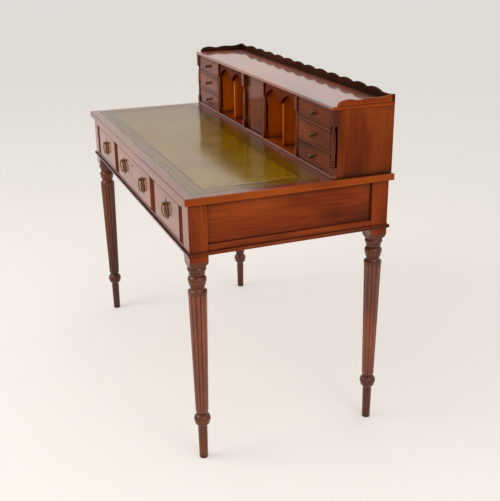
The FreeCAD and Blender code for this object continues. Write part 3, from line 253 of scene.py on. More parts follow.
def edge_distance(look, place, box):
    """Distance from a point to the nearest edge of a rectangle that lies flat."""
    low, high = box
    middle = (low + high) / 2
    split = look.add("SeparateXYZ", {0: place})
    across = []
    for index in (0, 1):
        off_middle = look.math("ABSOLUTE", look.math("SUBTRACT", split.outputs[index], middle[index]))
        across.append(look.math("SUBTRACT", (high - low)[index] / 2, off_middle))
    return look.math("MINIMUM", across[0], across[1])


def stripe(look, value, centre, half_width):
    """1 on a thin line where value is centre, 0 off it."""
    off = look.math("ABSOLUTE", look.math("SUBTRACT", value, centre))
    return look.band(off, half_width * 1.6, half_width * 0.6)


def antique_metal(name, bright, dull, least_roughness):
    """Old metal: bright where it is rubbed, brown in the hollows."""
    look = Look(name, "antique_brass")
    place = look.place()
    patches = look.noise(place, 260.0, detail=4.0, roughness=0.6)
    hollows = look.hidden_share(3.5 * MM, 0.45, 0.98)
    tarnish = look.math("MULTIPLY", look.band(patches, 0.4, 0.66), 0.55)
    share = look.math("MAXIMUM", hollows, tarnish)
    roughness = look.math("ADD", look.math("MULTIPLY", share, 0.35), least_roughness)
    look.finish(Base_Color=look.mixed(share, bright, dull), Metallic=1.0, Roughness=roughness,
                Normal=look.bump(patches, 0.0001, 0.4))
    return look.material


# a line's distance from the leather's edge and half its width, mm
TOOLED_LINES = ((18.0, 0.8), (36.0, 1.5), (40.0, 0.7))

# dark, middle and light wood of each figure
TONES = ((0.1, 0.012, 0.0015), (0.24, 0.036, 0.0045), (0.36, 0.07, 0.01))
END_TONES = ((0.085, 0.011, 0.001), (0.215, 0.031, 0.0025), (0.34, 0.062, 0.006))
# painted shade: darker tones for the sides of the upper part
SHADED_UPPER_END_TONES = ((0.065, 0.009, 0.001), (0.17, 0.028, 0.0035), (0.27, 0.054, 0.008))
LEG_TONES = ((0.065, 0.01, 0.0014), (0.19, 0.032, 0.004), (0.3, 0.06, 0.008))
# painted shade: darker tones for the feet and necks of the legs and the whole turning of the left legs
SHADED_LEG_TONES = ((0.04, 0.008, 0.0016), (0.11, 0.022, 0.004), (0.19, 0.043, 0.008))
# painted shade: darker tones for the arch fascias and the reeded stiles
SHADED_FRONT_TONES = ((0.045, 0.007, 0.001), (0.12, 0.02, 0.003), (0.2, 0.04, 0.007))
DEEP_TONES = ((0.06, 0.008, 0.0012), (0.17, 0.026, 0.003), (0.26, 0.048, 0.007))
# painted light: lighter tones for the end faces of the writing top and the upper top
LIT_END_TONES = ((0.15, 0.022, 0.002), (0.29, 0.05, 0.005), (0.4, 0.085, 0.011))
# painted light: bright orange tones for the partitions and pigeonhole dividers
LIT_INNER_TONES = ((0.3, 0.048, 0.001), (0.6, 0.115, 0.003), (0.8, 0.21, 0.01))
# painted shade: near-black wood for the gallery's back and left boards and the chamfer round the drawer
# fronts
SHADE_BLACK_TONES = ((0.02, 0.006, 0.002), (0.05, 0.014, 0.005), (0.09, 0.028, 0.01))
TOP_TONES = ((0.07, 0.011, 0.0018), (0.15, 0.027, 0.005), (0.24, 0.055, 0.01))

# refractive index of the polish, gloss of the wood under it, share of the wood it covers, its roughness
HIGH_POLISH = (1.5, 0.12, 1.0, 0.15)
MIRROR_POLISH = (1.6, 0.5, 1.0, 0.07)
LEG_POLISH = (1.52, 0.05, 1.0, 0.08)
TURNED_POLISH = (1.42, 0.02, 1.0, 0.07)
UPPER_POLISH = (1.4, 0.0, 0.85, 0.1)
END_POLISH = (1.3, 0.0, 0.5, 0.1)
LOW_POLISH = (1.3, 0.0, 0.35, 0.12)
# painted shade: little coat on the fascias and stiles, so that they reflect little
SHADED_POLISH = (1.3, 0.0, 0.2, 0.12)
DULL_POLISH = (1.3, 0.0, 0.12, 0.12)

FRONT = {grain: mahogany(f"mahogany_{grain}", grain, TONES, HIGH_POLISH) for grain in "xz"}
END = {grain: mahogany(f"mahogany_end_{grain}", grain, END_TONES, END_POLISH, least_shade_and_dirt=0.9)
       for grain in "yz"}
SHADED_UPPER_END = mahogany("mahogany_upper_end_shaded", "z", SHADED_UPPER_END_TONES, LOW_POLISH, streaks=0.2, least_shade_and_dirt=0.8)
SHADED_WOOD = {grain: mahogany(f"mahogany_shaded_{grain}", grain, SHADED_FRONT_TONES, SHADED_POLISH, least_shade_and_dirt=0.8)
             for grain in "xz"}
SHADE_BLACK = mahogany("mahogany_painted_shade_black", "x", SHADE_BLACK_TONES, DULL_POLISH)
LEG_WOOD = mahogany("mahogany_legs", "z", LEG_TONES, LEG_POLISH, least_shade_and_dirt=0.95)
SHADED_LEG_WOOD = mahogany("mahogany_turnings_shaded", "z", SHADED_LEG_TONES, TURNED_POLISH, least_shade_and_dirt=0.95)
UPPER_FRONT = {grain: mahogany(f"mahogany_upper_{grain}", grain, DEEP_TONES, UPPER_POLISH, least_shade_and_dirt=0.95)
               for grain in "xz"}
TOP_WOOD = mahogany("mahogany_top", "x", TOP_TONES, HIGH_POLISH)
LIT_END = mahogany("mahogany_end_lit", "y", LIT_END_TONES, LOW_POLISH)
MIRROR = mahogany("mahogany_polished_top", "x", TONES, MIRROR_POLISH)
LIT_INNER = mahogany("mahogany_inside_lit", "z", LIT_INNER_TONES, LOW_POLISH)
LINING = lining_wood()
LEATHER = tooled_leather(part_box("leather_skiver"))
BRASS = antique_metal("antique_brass", (0.36, 0.205, 0.06), (0.035, 0.017, 0.007), 0.24)
PLATE_BRASS = antique_metal("brown_brass", (0.19, 0.095, 0.035), (0.02, 0.008, 0.004), 0.34)
DARK_BRASS = antique_metal("tarnished_brass", (0.13, 0.085, 0.035), (0.025, 0.015, 0.007), 0.3)
STEEL = antique_metal("dull_steel", (0.34, 0.31, 0.27), (0.08, 0.06, 0.045), 0.34)


# ---------------------------------------------------------------- making pieces
def new_piece(name, mesh, materials, body, *replaced):
    """Puts a mesh in the scene as a piece that rides on a body and stands for some CAD nodes."""
    piece = bpy.data.objects.new(name, mesh)
    bpy.context.scene.collection.objects.link(piece)
    for material in materials:
        mesh.materials.append(material)
    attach(piece, body)
    if replaced:
        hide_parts(*replaced)
    return piece


def body_of(node):
    """The body that carries a CAD node."""
    return NODES[node]["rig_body"]


def ease(piece, width):
    """Rounds every sharp arris of a piece a little."""
    bevel = piece.modifiers.new("eased", "BEVEL")
    bevel.width = width
    bevel.segments = 2
    bevel.limit_method = "ANGLE"
    bevel.angle_limit = math.radians(32)
    keep_flats(piece)


def keep_flats(piece):
    """Lets the large faces set the shading, so that a flat reflects as a flat."""
    level = piece.modifiers.new("flat_faces", "WEIGHTED_NORMAL")
    level.mode = "FACE_AREA"
    level.weight = 100
    level.keep_sharp = True


def eased(node, materials, width=0.8 * MM, choose=None, chamfer=0.0):
    """Shows a CAD node with eased arrises. choose(centre, normal) gives a face's material number.

    A chamfer is cut first round the front face, in the last of the materials.
    """
    mesh = bpy.data.meshes.new(node + "_eased")
    shape = bmesh.new()
    shape.from_mesh(NODES[node].data)
    bmesh.ops.remove_doubles(shape, verts=shape.verts, dist=0.01 * MM)
    bmesh.ops.dissolve_limit(shape, angle_limit=math.radians(0.8), verts=shape.verts,
                             edges=shape.edges)
    for face in shape.faces:
        face.smooth = True
        face.material_index = choose(face.calc_center_median(), face.normal) if choose else 0
    if chamfer:
        cut_front_chamfer(shape, chamfer, len(materials) - 1)
    shape.to_mesh(mesh)
    shape.free()
    ease(new_piece(node + "_eased", mesh, materials, body_of(node), node), width)


def cut_front_chamfer(shape, width, material):
    """Cuts the long arrises of the face that looks at the sitter."""
    front_y = min(vert.co.y for vert in shape.verts)
    rim = []
    for edge in shape.edges:
        at_front = all(abs(vert.co.y - front_y) < 0.1 * MM for vert in edge.verts)
        if at_front and edge.calc_length() > 40 * MM and edge.calc_face_angle(0) > 1.0:
            rim.append(edge)
    bmesh.ops.bevel(shape, geom=rim, offset=width, segments=2, profile=0.5, affect="EDGES",
                    material=material)


def finished_mesh(shape, name, sharp):
    """A smooth-shaded mesh from a bmesh, with its edges over an angle kept hard."""
    bmesh.ops.recalc_face_normals(shape, faces=shape.faces)
    for face in shape.faces:
        face.smooth = True
    mesh = bpy.data.meshes.new(name)
    shape.to_mesh(mesh)
    shape.free()
    mesh.set_sharp_from_angle(angle=math.radians(sharp))
    return mesh


def made(add_form, name, sharp=38):
    """The mesh of a form that a function adds to an empty bmesh."""
    shape = bmesh.new()
    add_form(shape)
    return finished_mesh(shape, name, sharp)


def loft(shape, sections, closed=False):
    """Skins rings of the same number of points, capped at the ends unless the rings close."""
    rings = [[shape.verts.new(point) for point in ring] for ring in sections]
    pairs = list(zip(rings, rings[1:]))
    if closed:
        pairs.append((rings[-1], rings[0]))
    for low, high in pairs:
        for index in range(len(low)):
            after = (index + 1) % len(low)
            shape.faces.new((low[index], low[after], high[after], high[index]))
    if not closed:
        shape.faces.new(list(reversed(rings[0])))
        shape.faces.new(rings[-1])


def add_box(shape, low, high):
    """A box between two corners."""
    ring = ((low[0], low[1]), (high[0], low[1]), (high[0], high[1]), (low[0], high[1]))
    loft(shape, [[(x, y, z) for x, y in ring] for z in (low[2], high[2])])


# ---------------------------------------------------------------- turned work
def arc_points(start, end, rise, steps=6):
    """Points after start up to end, on a round arc that stands off its chord by rise."""
    start, end = Vector(start), Vector(end)
    along = (end - start).normalized()
    outward = Vector((along.y, -along.x))
    half = (end - start).length / 2
    radius = (half ** 2 + rise ** 2) / (2 * rise)
    centre = (start + end) / 2 + outward * (rise - radius)
    spread = 2 * math.atan2(abs(rise), half)
    points = []
    for step in range(1, steps + 1):
        turn = spread * (2 * step / steps - 1)
        point = centre + outward * radius * math.cos(turn) + along * abs(radius) * math.sin(turn)
        points.append((point.x, point.y))
    return points


def profile(*corners):
    """(radius, level) points. A corner with a third value swells by it on the way to the next one."""
    points = [corners[0][:2]]
    for corner, after in zip(corners, corners[1:]):
        if len(corner) == 3:
            points += arc_points(corner[:2], after[:2], corner[2])
        else:
            points.append(after[:2])
    return points


def turns(around):
    """Evenly spread angles round a circle."""
    return [2 * math.pi * step / around for step in range(around)]


def round_ring(radius, level, around):
    """A circle's outline at a level."""
    return [(radius * math.cos(turn), radius * math.sin(turn), level) for turn in turns(around)]


def square_ring(half, level, around, corner):
    """A square's outline with as many points as a round one. Its corners end at a radius."""
    ring = []
    for turn in turns(around):
        reach = min(half / max(abs(math.cos(turn)), abs(math.sin(turn))), corner)
        ring.append((reach * math.cos(turn), reach * math.sin(turn), level))
    return ring


def turn_in(shape, outline, around):
    """Turns an outline about the Z axis."""
    loft(shape, [round_ring(radius, level, around) for radius, level in outline])


def put(mesh, place, facing=None):
    """Scales a mesh from millimetres and puts it in its place. Facing -Y lays its axis level."""
    turn = Matrix.Rotation(math.radians(90), 4, "X") if facing == "-Y" else Matrix.Identity(4)
    mesh.transform(Matrix.Translation(place) @ turn @ Matrix.Scale(MM, 4))
    return mesh


# ---------------------------------------------------------------- legs
REEDS = 12
AROUND = REEDS * 8
# outlines of the turning as (radius, height, swell on the way to the next point)
FOOT = ((10.7, 0), (11.9, 1.2), (13.2, 102), (17, 107, 1.3), (20.3, 116), (20.9, 116, 4.4),
        (15.4, 138), (15.4, 141), (13.6, 141.1))
NECK = ((21.8, 493.9), (24.8, 494), (24.8, 503, -1.8), (18.2, 514, 1.3), (20.4, 520.5, 1.3),
        (22.6, 527, 3.9), (18.2, 545), (18.2, 546, 1.7), (20.8, 556, 3.2), (22.4, 569), (22.4, 572))
REED_LEVELS = (141.2, 145, 149, 235, 321, 407, 486, 491, 493.8)
REED_CROWNS = ((141, 14.8), (149, 17.5), (494, 24.2))
REED_VALLEY = 0.875
REED_FULLNESS = 2.4
FOOT_TOP = 141.0
BLOCK_BOTTOM = 572.0
SHOULDER_HEIGHT = 15.0
SHOULDER_RADIUS = 24.4
SHOULDER_SWELL = 2.4
POST_HALF = 25.0
POST_ARRIS = 1.2


def reed_crown(level):
    """Radius over the reeds at a level."""
    for (low, low_crown), (high, high_crown) in zip(REED_CROWNS, REED_CROWNS[1:]):
        if level <= high:
            return low_crown + (high_crown - low_crown) * (level - low) / (high - low)
    return REED_CROWNS[-1][1]


def reeded_ring(level):
    """One level of the reeding: round reeds with sharp valleys between them.

    Across runs from -1 to 1 over a reed, with its crown at 0.
    """
    crown = reed_crown(level)
    depth = crown * (1 - REED_VALLEY)
    ring = []
    for turn in turns(AROUND):
        across = (turn * REEDS / math.pi) % 2 - 1
        radius = crown - depth * abs(across) ** REED_FULLNESS
        ring.append((radius * math.cos(turn), radius * math.sin(turn), level))
    return ring


def post_rings(top):
    """The square post over the turning, whose lower corners are turned away."""
    corner = POST_HALF * math.sqrt(2) - POST_ARRIS * 0.6
    start = (SHOULDER_RADIUS, BLOCK_BOTTOM, SHOULDER_SWELL)
    shoulder = profile(start, (corner, BLOCK_BOTTOM + SHOULDER_HEIGHT))
    rings = [square_ring(POST_HALF, level, AROUND, radius) for radius, level in shoulder]
    return rings + [square_ring(POST_HALF, top, AROUND, corner)]


def build_leg(node, shaft_wood):
    """One leg: foot, reeded shaft, turned neck and post."""
    low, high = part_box(node)
    rings = [round_ring(radius, level, AROUND) for radius, level in profile(*FOOT)]
    rings += [reeded_ring(level) for level in REED_LEVELS]
    rings += [round_ring(radius, level, AROUND) for radius, level in profile(*NECK)]
    rings += post_rings(high.z / MM)
    shape = bmesh.new()
    loft(shape, rings)
    centre = (low + high) / 2
    mesh = put(finished_mesh(shape, node + "_turned", 30), (centre.x, centre.y, 0))
    for face in mesh.polygons:
        on_post = face.center.z > (BLOCK_BOTTOM + SHOULDER_HEIGHT) * MM
        on_shaft = FOOT_TOP * MM < face.center.z < NECK[0][1] * MM
        # feet and necks take the darker copy, painted shade; the shaft takes the wood it is given
        face.material_index = is_end(face.center, face.normal) if on_post else 3 - on_shaft
    new_piece(node + "_turned", mesh, [FRONT["z"], END["z"], shaft_wood, SHADED_LEG_WOOD], "root", node)


def build_legs():
    for end in ("front", "back"):
        for side in SIDES:
            # the left legs' shafts take the darker copy too: painted shade
            build_leg(f"leg_{end}_{side}", LEG_WOOD if side == "right" else SHADED_LEG_WOOD)


# ---------------------------------------------------------------- carcase
def is_end(centre, normal):
    """1 on faces that look left or right, 0 on the others."""
    return 1 if abs(normal.x) > 0.5 else 0


def build_carcase():
    # the top's end faces take a lighter copy: painted light
    eased("writing_top", [TOP_WOOD, LIT_END], 0.4 * MM, is_end)
    for node in ("front_rails", "back_panel"):
        eased(node, [FRONT["x"]])
    for node in ("end_panel_left", "end_panel_right", "end_bead_rails"):
        eased(node, [END["y"]])
    # the stiles: painted shade, a darker copy of the wood
    eased("reeded_stiles", [SHADED_WOOD["z"]], 0.5 * MM)
    eased("base_moulding", [FRONT["x"], END["y"]], 0.5 * MM, is_end)
    for node in ("drawer_runners", "drawer_guides"):
        eased(node, [LINING], 0.5 * MM)


def build_superstructure():
    for side in SIDES:
        # the upper sides: painted shade, a darker copy of the end wood
        eased("upper_side_" + side, [SHADED_UPPER_END])
    # the upper top's end faces take a lighter copy: painted light
    eased("upper_top", [MIRROR, LIT_END], 0.5 * MM, is_end)
    eased("upper_floor", [FRONT["x"]], 0.5 * MM)
    eased("upper_back", [FRONT["x"]])
    # painted shade: the gallery's back and left boards near black
    for node in ("gallery_back", "gallery_left"):
        eased(node, [SHADE_BLACK])
    eased("gallery_right", [END["y"]], 1.2 * MM)
    # the fascias: painted shade, a darker copy of the wood
    eased("arch_fascias", [SHADED_WOOD["x"]], 0.5 * MM)
    eased("centre_door", [UPPER_FRONT["z"]])
    # painted light: the partitions and dividers in a brighter copy of the wood
    for node in ("upper_partitions", "pigeonhole_dividers"):
        eased(node, [LIT_INNER], 0.6 * MM)
    eased("small_drawer_shelves", [UPPER_FRONT["x"]], 0.4 * MM)


LEATHER_CELL = 22.0
EDGE_WIDTH = 1.6
EDGE_DROP = 0.3
LINE_DEPTH = 0.25
WAVE = 0.05


def leather_steps(length):
    """Places across the leather: close at its edges and tooled lines, wide between them."""
    near = [0.0, EDGE_WIDTH / 2 * MM, EDGE_WIDTH * MM]
    for centre, half_width in TOOLED_LINES:
        near += [(centre + half_width * step) * MM for step in (-1.5, -0.7, 0.7, 1.5)]
    start = near[-1] + 4 * MM
    count = int(length / (LEATHER_CELL * MM))
    middle = [start + (length - 2 * start) * step / count for step in range(count + 1)]
    return near + middle + [length - place for place in reversed(near)]


def build_leather():
    """The leather, sunk a hair at its tooled lines and a little uneven, so that its shine wavers."""
    low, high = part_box("leather_skiver")
    size = high - low
    shape = bmesh.new()
    rows = [[shape.verts.new((low.x + x, low.y + y, high.z - leather_depth(x, y, size)))
             for x in leather_steps(size.x)] for y in leather_steps(size.y)]
    for row, after in zip(rows, rows[1:]):
        for step in range(len(row) - 1):
            shape.faces.new((row[step], row[step + 1], after[step + 1], after[step]))
    bmesh.ops.solidify(shape, geom=shape.faces[:], thickness=size.z - 0.4 * MM)
    mesh = finished_mesh(shape, "leather_surface", 50)
    keep_flats(new_piece("leather_surface", mesh, [LEATHER], "root", "leather_skiver"))


def leather_depth(x, y, size):
    """How far the leather lies under its highest level at a point."""
    inset = min(x, y, size.x - x, size.y - y)
    depth = EDGE_DROP * max(0.0, 1 - inset / (EDGE_WIDTH * MM))
    for centre, half_width in TOOLED_LINES:
        if abs(inset - centre * MM) < half_width * MM:
            depth += LINE_DEPTH
    short = math.sin(x * 31 + 1.3 * math.sin(y * 23)) * math.sin(y * 37 + 0.7)
    long = math.sin(x * 13 + y * 17)
    return (depth + WAVE * (2 + short + long)) * MM


# ---------------------------------------------------------------- columns
COLUMN_HALF = 8.0
COLUMN_HEIGHT = 170.0
COLUMN_BASE = 22.0
COLUMN_HEAD = 130.0
COLUMN_SHAFT = ((4.7, 21.5), (5.8, 22), (5.8, 23.7, 2.1), (5.8, 28.2), (5.8, 31.6, 2.1), (5.8, 36.1),
                (5.8, 39.5, 2.1), (5.8, 44), (5.8, 47.4, 1.9), (4.2, 123, -0.8), (6.4, 130),
                (5.2, 130.5))
COLUMN_AROUND = 32
COLUMN_ARRIS = 0.7
INNER_COLUMNS = (82.0, 320.0)


def build_columns():
    """Six slender columns, each with a square head and foot."""
    low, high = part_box("columns")
    shape = bmesh.new()
    outer = high.x / MM - COLUMN_HALF
    for place in (*INNER_COLUMNS, outer):
        for x in (-place, place):
            add_column(shape, x)
    mesh = finished_mesh(shape, "turned_columns", 34)
    put(mesh, (0, low.y + COLUMN_HALF * MM, low.z))
    new_piece("turned_columns", mesh, [UPPER_FRONT["z"]], "root", "columns")


def add_column(shape, x):
    """A turned shaft between a square foot and a square head."""
    first = len(shape.verts)
    turn_in(shape, profile(*COLUMN_SHAFT), COLUMN_AROUND)
    add_block(shape, 0, COLUMN_BASE)
    add_block(shape, COLUMN_HEAD, COLUMN_HEIGHT)
    shape.verts.ensure_lookup_table()
    bmesh.ops.translate(shape, verts=shape.verts[first:], vec=(x, 0, 0))


def add_block(shape, bottom, top):
    """A square block with eased arrises."""
    near, far = COLUMN_HALF - COLUMN_ARRIS, COLUMN_HALF
    rings = ((near, bottom), (far, bottom + COLUMN_ARRIS), (far, top - COLUMN_ARRIS), (near, top))
    loft(shape, [block_ring(half, level) for half, level in rings])


def block_ring(far, level):
    """An octagon that reads as a square with cut corners."""
    near = far - COLUMN_ARRIS
    return [(far, -near, level), (far, near, level), (near, far, level), (-near, far, level),
            (-far, near, level), (-far, -near, level), (-near, -far, level), (near, -far, level)]


# ---------------------------------------------------------------- frieze drawers
RING_RADIUS = 17.0
PLATE_RADIUS = 24.0
PLATE_THICKNESS = 0.9
PLATE_AROUND = 96
EYE_STAND = 8.0
EYE_RADIUS = 4.6
EYE_AROUND = 28
STEM_AROUND = 24
WIRE_RADIUS = 1.9
WIRE_AROUND = 12
RING_OUTER = RING_RADIUS + 2.0
RING_AROUND = 64


def hump(radius, centre, width):
    """1 on a circle, with a smooth fall on both sides of it."""
    return math.exp(-((radius - centre) / width) ** 2)


def plate_height(radius, turn):
    """How far the embossed plate stands off the drawer: a gadrooned rim, leaves and a rosette."""
    rim = hump(radius, 21.2, 1.3) * (1.4 + 0.5 * math.cos(turn * 24))
    ridge = hump(radius, 17.6, 0.7) * 0.5
    leaf = max(0.0, math.cos(turn * 6)) ** 0.6 * hump(radius, 12.5, 2.6) * 1.1
    rosette = hump(radius, 5.5, 2.2) * (1.3 + 0.6 * math.cos(turn * 8))
    boss = hump(radius, 0.0, 3.0) * 2.2
    return PLATE_THICKNESS + rim + ridge + leaf + rosette + boss


def embossed_plate(shape):
    """The round plate behind a ring pull, as a disc about the Z axis."""
    radii = [PLATE_RADIUS - step for step in (0.0, 0.3, 0.9)]
    radii += [PLATE_RADIUS - 1.6 - step * 0.75 for step in range(29)]
    rings = [round_ring(PLATE_RADIUS, 0, PLATE_AROUND)]
    for radius in radii:
        rings.append([(radius * math.cos(turn), radius * math.sin(turn), plate_height(radius, turn))
                      for turn in turns(PLATE_AROUND)])
    loft(shape, rings)


def add_eye(shape):
    """The eye that the ring hangs in, with its stem, collar and nut."""
    outline = [(2.7, -2.2), (3.3, -3), (4.2, -3), (EYE_RADIUS, -2.4), (EYE_RADIUS, 2.4), (4.2, 3),
               (3.3, 3), (2.7, 2.2)]
    rings = []
    for turn in turns(EYE_AROUND):
        aside, up = math.cos(turn), math.sin(turn)
        rings.append([(level, RING_RADIUS + radius * aside, EYE_STAND + radius * up)
                      for radius, level in outline])
    loft(shape, rings, closed=True)
    stem = profile((2.3, -26), (2.3, 0), (4.4, 0.4), (4.4, 1.6, 0.4), (2.6, 3), (2.2, 3.6))
    nut = ((2.3, -23.5), (5.4, -23.5), (6, -23), (6, -20.6), (5.4, -20.1), (2.3, -20.1))
    for outline in (stem, nut):
        part = [round_ring(radius, level, STEM_AROUND) for radius, level in outline]
        loft(shape, [[(x, y + RING_RADIUS, z) for x, y, z in ring] for ring in part])


def build_pulls(drawer, node, ring_nodes):
    """The pulls of a drawer. The first plate stands for the CAD node that holds all of them."""
    front_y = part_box(node)[0].y + (EYE_STAND + EYE_RADIUS) * MM
    low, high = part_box(drawer + "_front")
    pull_z = (low.z + high.z) / 2
    for number, ring_node in enumerate(ring_nodes):
        low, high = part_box(ring_node)
        place = ((low.x + high.x) / 2, front_y, pull_z)
        ring_place = (place[0], front_y - EYE_STAND * MM, pull_z)
        replaced = [node] if number == 0 else []
        plate = put(made(embossed_plate, "plate", 60), place, "-Y")
        new_piece(f"{ring_node}_plate", plate, [PLATE_BRASS], body_of(node), *replaced)
        eye = put(made(add_eye, "eye"), place, "-Y")
        new_piece(f"{ring_node}_eye", eye, [BRASS], body_of(node))
        ring = put(made(add_ring, "ring"), ring_place, "-Y")
        new_piece(f"{ring_node}_wire", ring, [BRASS], body_of(ring_node), ring_node)


def add_ring(shape):
    """A ring of round wire that thickens a little towards its foot."""
    rings = []
    for turn in turns(RING_AROUND):
        wire = WIRE_RADIUS - 0.25 * math.sin(turn)
        ring = []
        for around in turns(WIRE_AROUND):
            reach = RING_OUTER - wire + wire * math.cos(around)
            ring.append((reach * math.cos(turn), reach * math.sin(turn), wire * math.sin(around)))
        rings.append(ring)
    loft(shape, rings, closed=True)


def build_lock(drawer):
    """The till lock inside a front, and the dark keyhole's rim outside."""
    node = drawer + "_lock"
    front_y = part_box(drawer + "_front")[0].y

    def rim_or_case(centre, normal):
        return 0 if centre.y < front_y + 2 * MM else 1

    eased(node, [DARK_BRASS, STEEL], 0.25 * MM, rim_or_case)


def build_frieze_drawers():
    pulls = {"left_drawer": ("left_drawer_pull_plate", ["left_drawer_ring"]),
             "right_drawer": ("right_drawer_pull_plate", ["right_drawer_ring"]),
             "centre_drawer": ("centre_drawer_pull_plates",
                               ["centre_drawer_ring_left", "centre_drawer_ring_right"])}
    for drawer, (plates, rings) in pulls.items():
        # the chamfer round each front: painted shadow of the gap, with dirt
        eased(drawer + "_front", [FRONT["x"], SHADE_BLACK], 0.3 * MM, chamfer=1.3 * MM)
        eased(drawer + "_box", [LINING], 0.6 * MM)
        build_lock(drawer)
        build_pulls(drawer, plates, rings)


# ---------------------------------------------------------------- small drawers
SMALL_FRONT = 10.0
SMALL_SIDE = 6.0
SMALL_BOTTOM = 3.0
BEAD_PROUD = 1.4
# (distance from the front's edge, distance behind the bead's crown)
BEAD_STEPS = ((0, SMALL_FRONT + BEAD_PROUD), (0, 1.0), (0.4, 0.25), (1.1, 0), (1.9, 0.3), (2.5, 1.9),
              (3.1, 1.9), (3.5, BEAD_PROUD), (6.8, BEAD_PROUD), (7.3, 2.1), (7.9, 2.1),
              (8.4, BEAD_PROUD))
KNOB = ((4.6, 0), (4.6, 1.2), (3.9, 1.8), (2.8, 2.6, -0.3), (2.8, 5.4), (5.2, 6.2), (6.6, 8.2, 0.9),
        (3.2, 12.8), (2.2, 13.4), (1.2, 14))
KNOB_AROUND = 32


def build_small_drawer(node):
    """A small drawer: a front framed by a bead and a second fine line, on a plain box."""
    low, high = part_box(node)

    def add_front(shape):
        rings = []
        for inset, depth in BEAD_STEPS:
            edge = Vector((inset, 0, inset)) * MM
            near, far = low + edge, high - edge
            y = low.y + depth * MM
            rings.append([(near.x, y, near.z), (far.x, y, near.z), (far.x, y, far.z),
                          (near.x, y, far.z)])
        loft(shape, rings)

    def add_case(shape):
        side, bottom = SMALL_SIDE * MM, SMALL_BOTTOM * MM
        start, top = low.y + (SMALL_FRONT + BEAD_PROUD) * MM, high.z - side
        add_box(shape, (low.x, start, low.z), (low.x + side, high.y, top))
        add_box(shape, (high.x - side, start, low.z), (high.x, high.y, top))
        add_box(shape, (low.x + side, start, low.z), (high.x - side, high.y, low.z + bottom))
        add_box(shape, (low.x + side, high.y - side, low.z + bottom), (high.x - side, high.y, top))

    front = made(add_front, node + "_front", 30)
    new_piece(node + "_front", front, [UPPER_FRONT["x"]], body_of(node), node)
    case = new_piece(node + "_box", made(add_case, node + "_box"), [LINING], body_of(node))
    ease(case, 0.4 * MM)
    build_knob(node + "_knob", (low.x + high.x) / 2, low.y + BEAD_PROUD * MM)


def build_knob(node, x, front_y):
    """A turned knob with its axis level."""
    low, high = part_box(node)

    def add_knob(shape):
        turn_in(shape, profile(*KNOB), KNOB_AROUND)

    mesh = put(made(add_knob, node + "_turned"), (x, front_y, (low.z + high.z) / 2), "-Y")
    new_piece(node + "_turned", mesh, [DARK_BRASS], body_of(node), node)


def build_small_drawers():
    for side in SIDES:
        for level in LEVELS:
            build_small_drawer(f"small_drawer_{side}_{level}")


# ---------------------------------------------------------------- hinges
def build_hinges():
    """The fixed and the moving leaves of the door's hinges."""
    for node in ("door_hinges", "door_hinge_leaves"):
        eased(node, [DARK_BRASS], 0.2 * MM)


# ---------------------------------------------------------------- camera, floor and light
PHOTO_WIDTH, PHOTO_HEIGHT = 500, 501
CAMERA_PLACE = Vector((2.351408, -0.823073, 1.360969))
CAMERA_YAW, CAMERA_PITCH, CAMERA_ROLL = -1.160807, -0.365544, 0.000194
FOCAL_PIXELS = 818.44
PRINCIPAL_POINT = (278.639, 242.554)
SENSOR_WIDTH = 36.0


def build_camera():
    """The camera of the photograph, solved from the desk's straight edges."""
    data = bpy.data.cameras.new("camera")
    camera = bpy.data.objects.new("camera", data)
    bpy.context.scene.collection.objects.link(camera)
    level = math.cos(CAMERA_PITCH)
    ahead = Vector((math.sin(CAMERA_YAW) * level, math.cos(CAMERA_YAW) * level, math.sin(CAMERA_PITCH)))
    flat_right = Vector((math.cos(CAMERA_YAW), -math.sin(CAMERA_YAW), 0))
    flat_up = flat_right.cross(ahead)
    right = flat_right * math.cos(CAMERA_ROLL) + flat_up * math.sin(CAMERA_ROLL)
    up = flat_up * math.cos(CAMERA_ROLL) - flat_right * math.sin(CAMERA_ROLL)
    turn = Matrix((right, up, -ahead)).transposed()
    camera.matrix_world = Matrix.Translation(CAMERA_PLACE) @ turn.to_4x4()
    data.sensor_fit = "HORIZONTAL"
    data.sensor_width = SENSOR_WIDTH
    data.lens = FOCAL_PIXELS / PHOTO_WIDTH * SENSOR_WIDTH
    data.shift_x = (PHOTO_WIDTH / 2 - PRINCIPAL_POINT[0]) / PHOTO_WIDTH
    data.shift_y = (PRINCIPAL_POINT[1] - PHOTO_HEIGHT / 2) / PHOTO_WIDTH
    data.clip_end = 100.0
    bpy.context.scene.camera = camera


def seen_share(add):
    """1 for rays from the camera and for reflected and refracted ones, 0 for those that carry light."""
    path = add("ShaderNodeLightPath")
    total = path.outputs["Is Camera Ray"]
    for name in ("Is Glossy Ray", "Is Transmission Ray"):
        node = add("ShaderNodeMath")
        node.operation = "MAXIMUM"
        node.id_data.links.new(total, node.inputs[0])
        node.id_data.links.new(path.outputs[name], node.inputs[1])
        total = node.outputs[0]
    return total


# colours of the floor by the share of its reach from the brightest spot: a painted pool of light round
# the desk
FLOOR_SHADES = [(0.0, (0.94, 0.9, 0.85)), (0.1, (0.92, 0.88, 0.835)), (0.2, (0.85, 0.815, 0.78)),
                (0.4, (0.84, 0.8, 0.77)), (1.0, (0.85, 0.815, 0.79))]
FLOOR_REACH = 16.0
FLOOR_HALF = 40.0
FLOOR_DROP = 0.0002
FLOOR_GLOW = 0.35
BRIGHT_SPOT = (0.9, -0.5, 0.0)


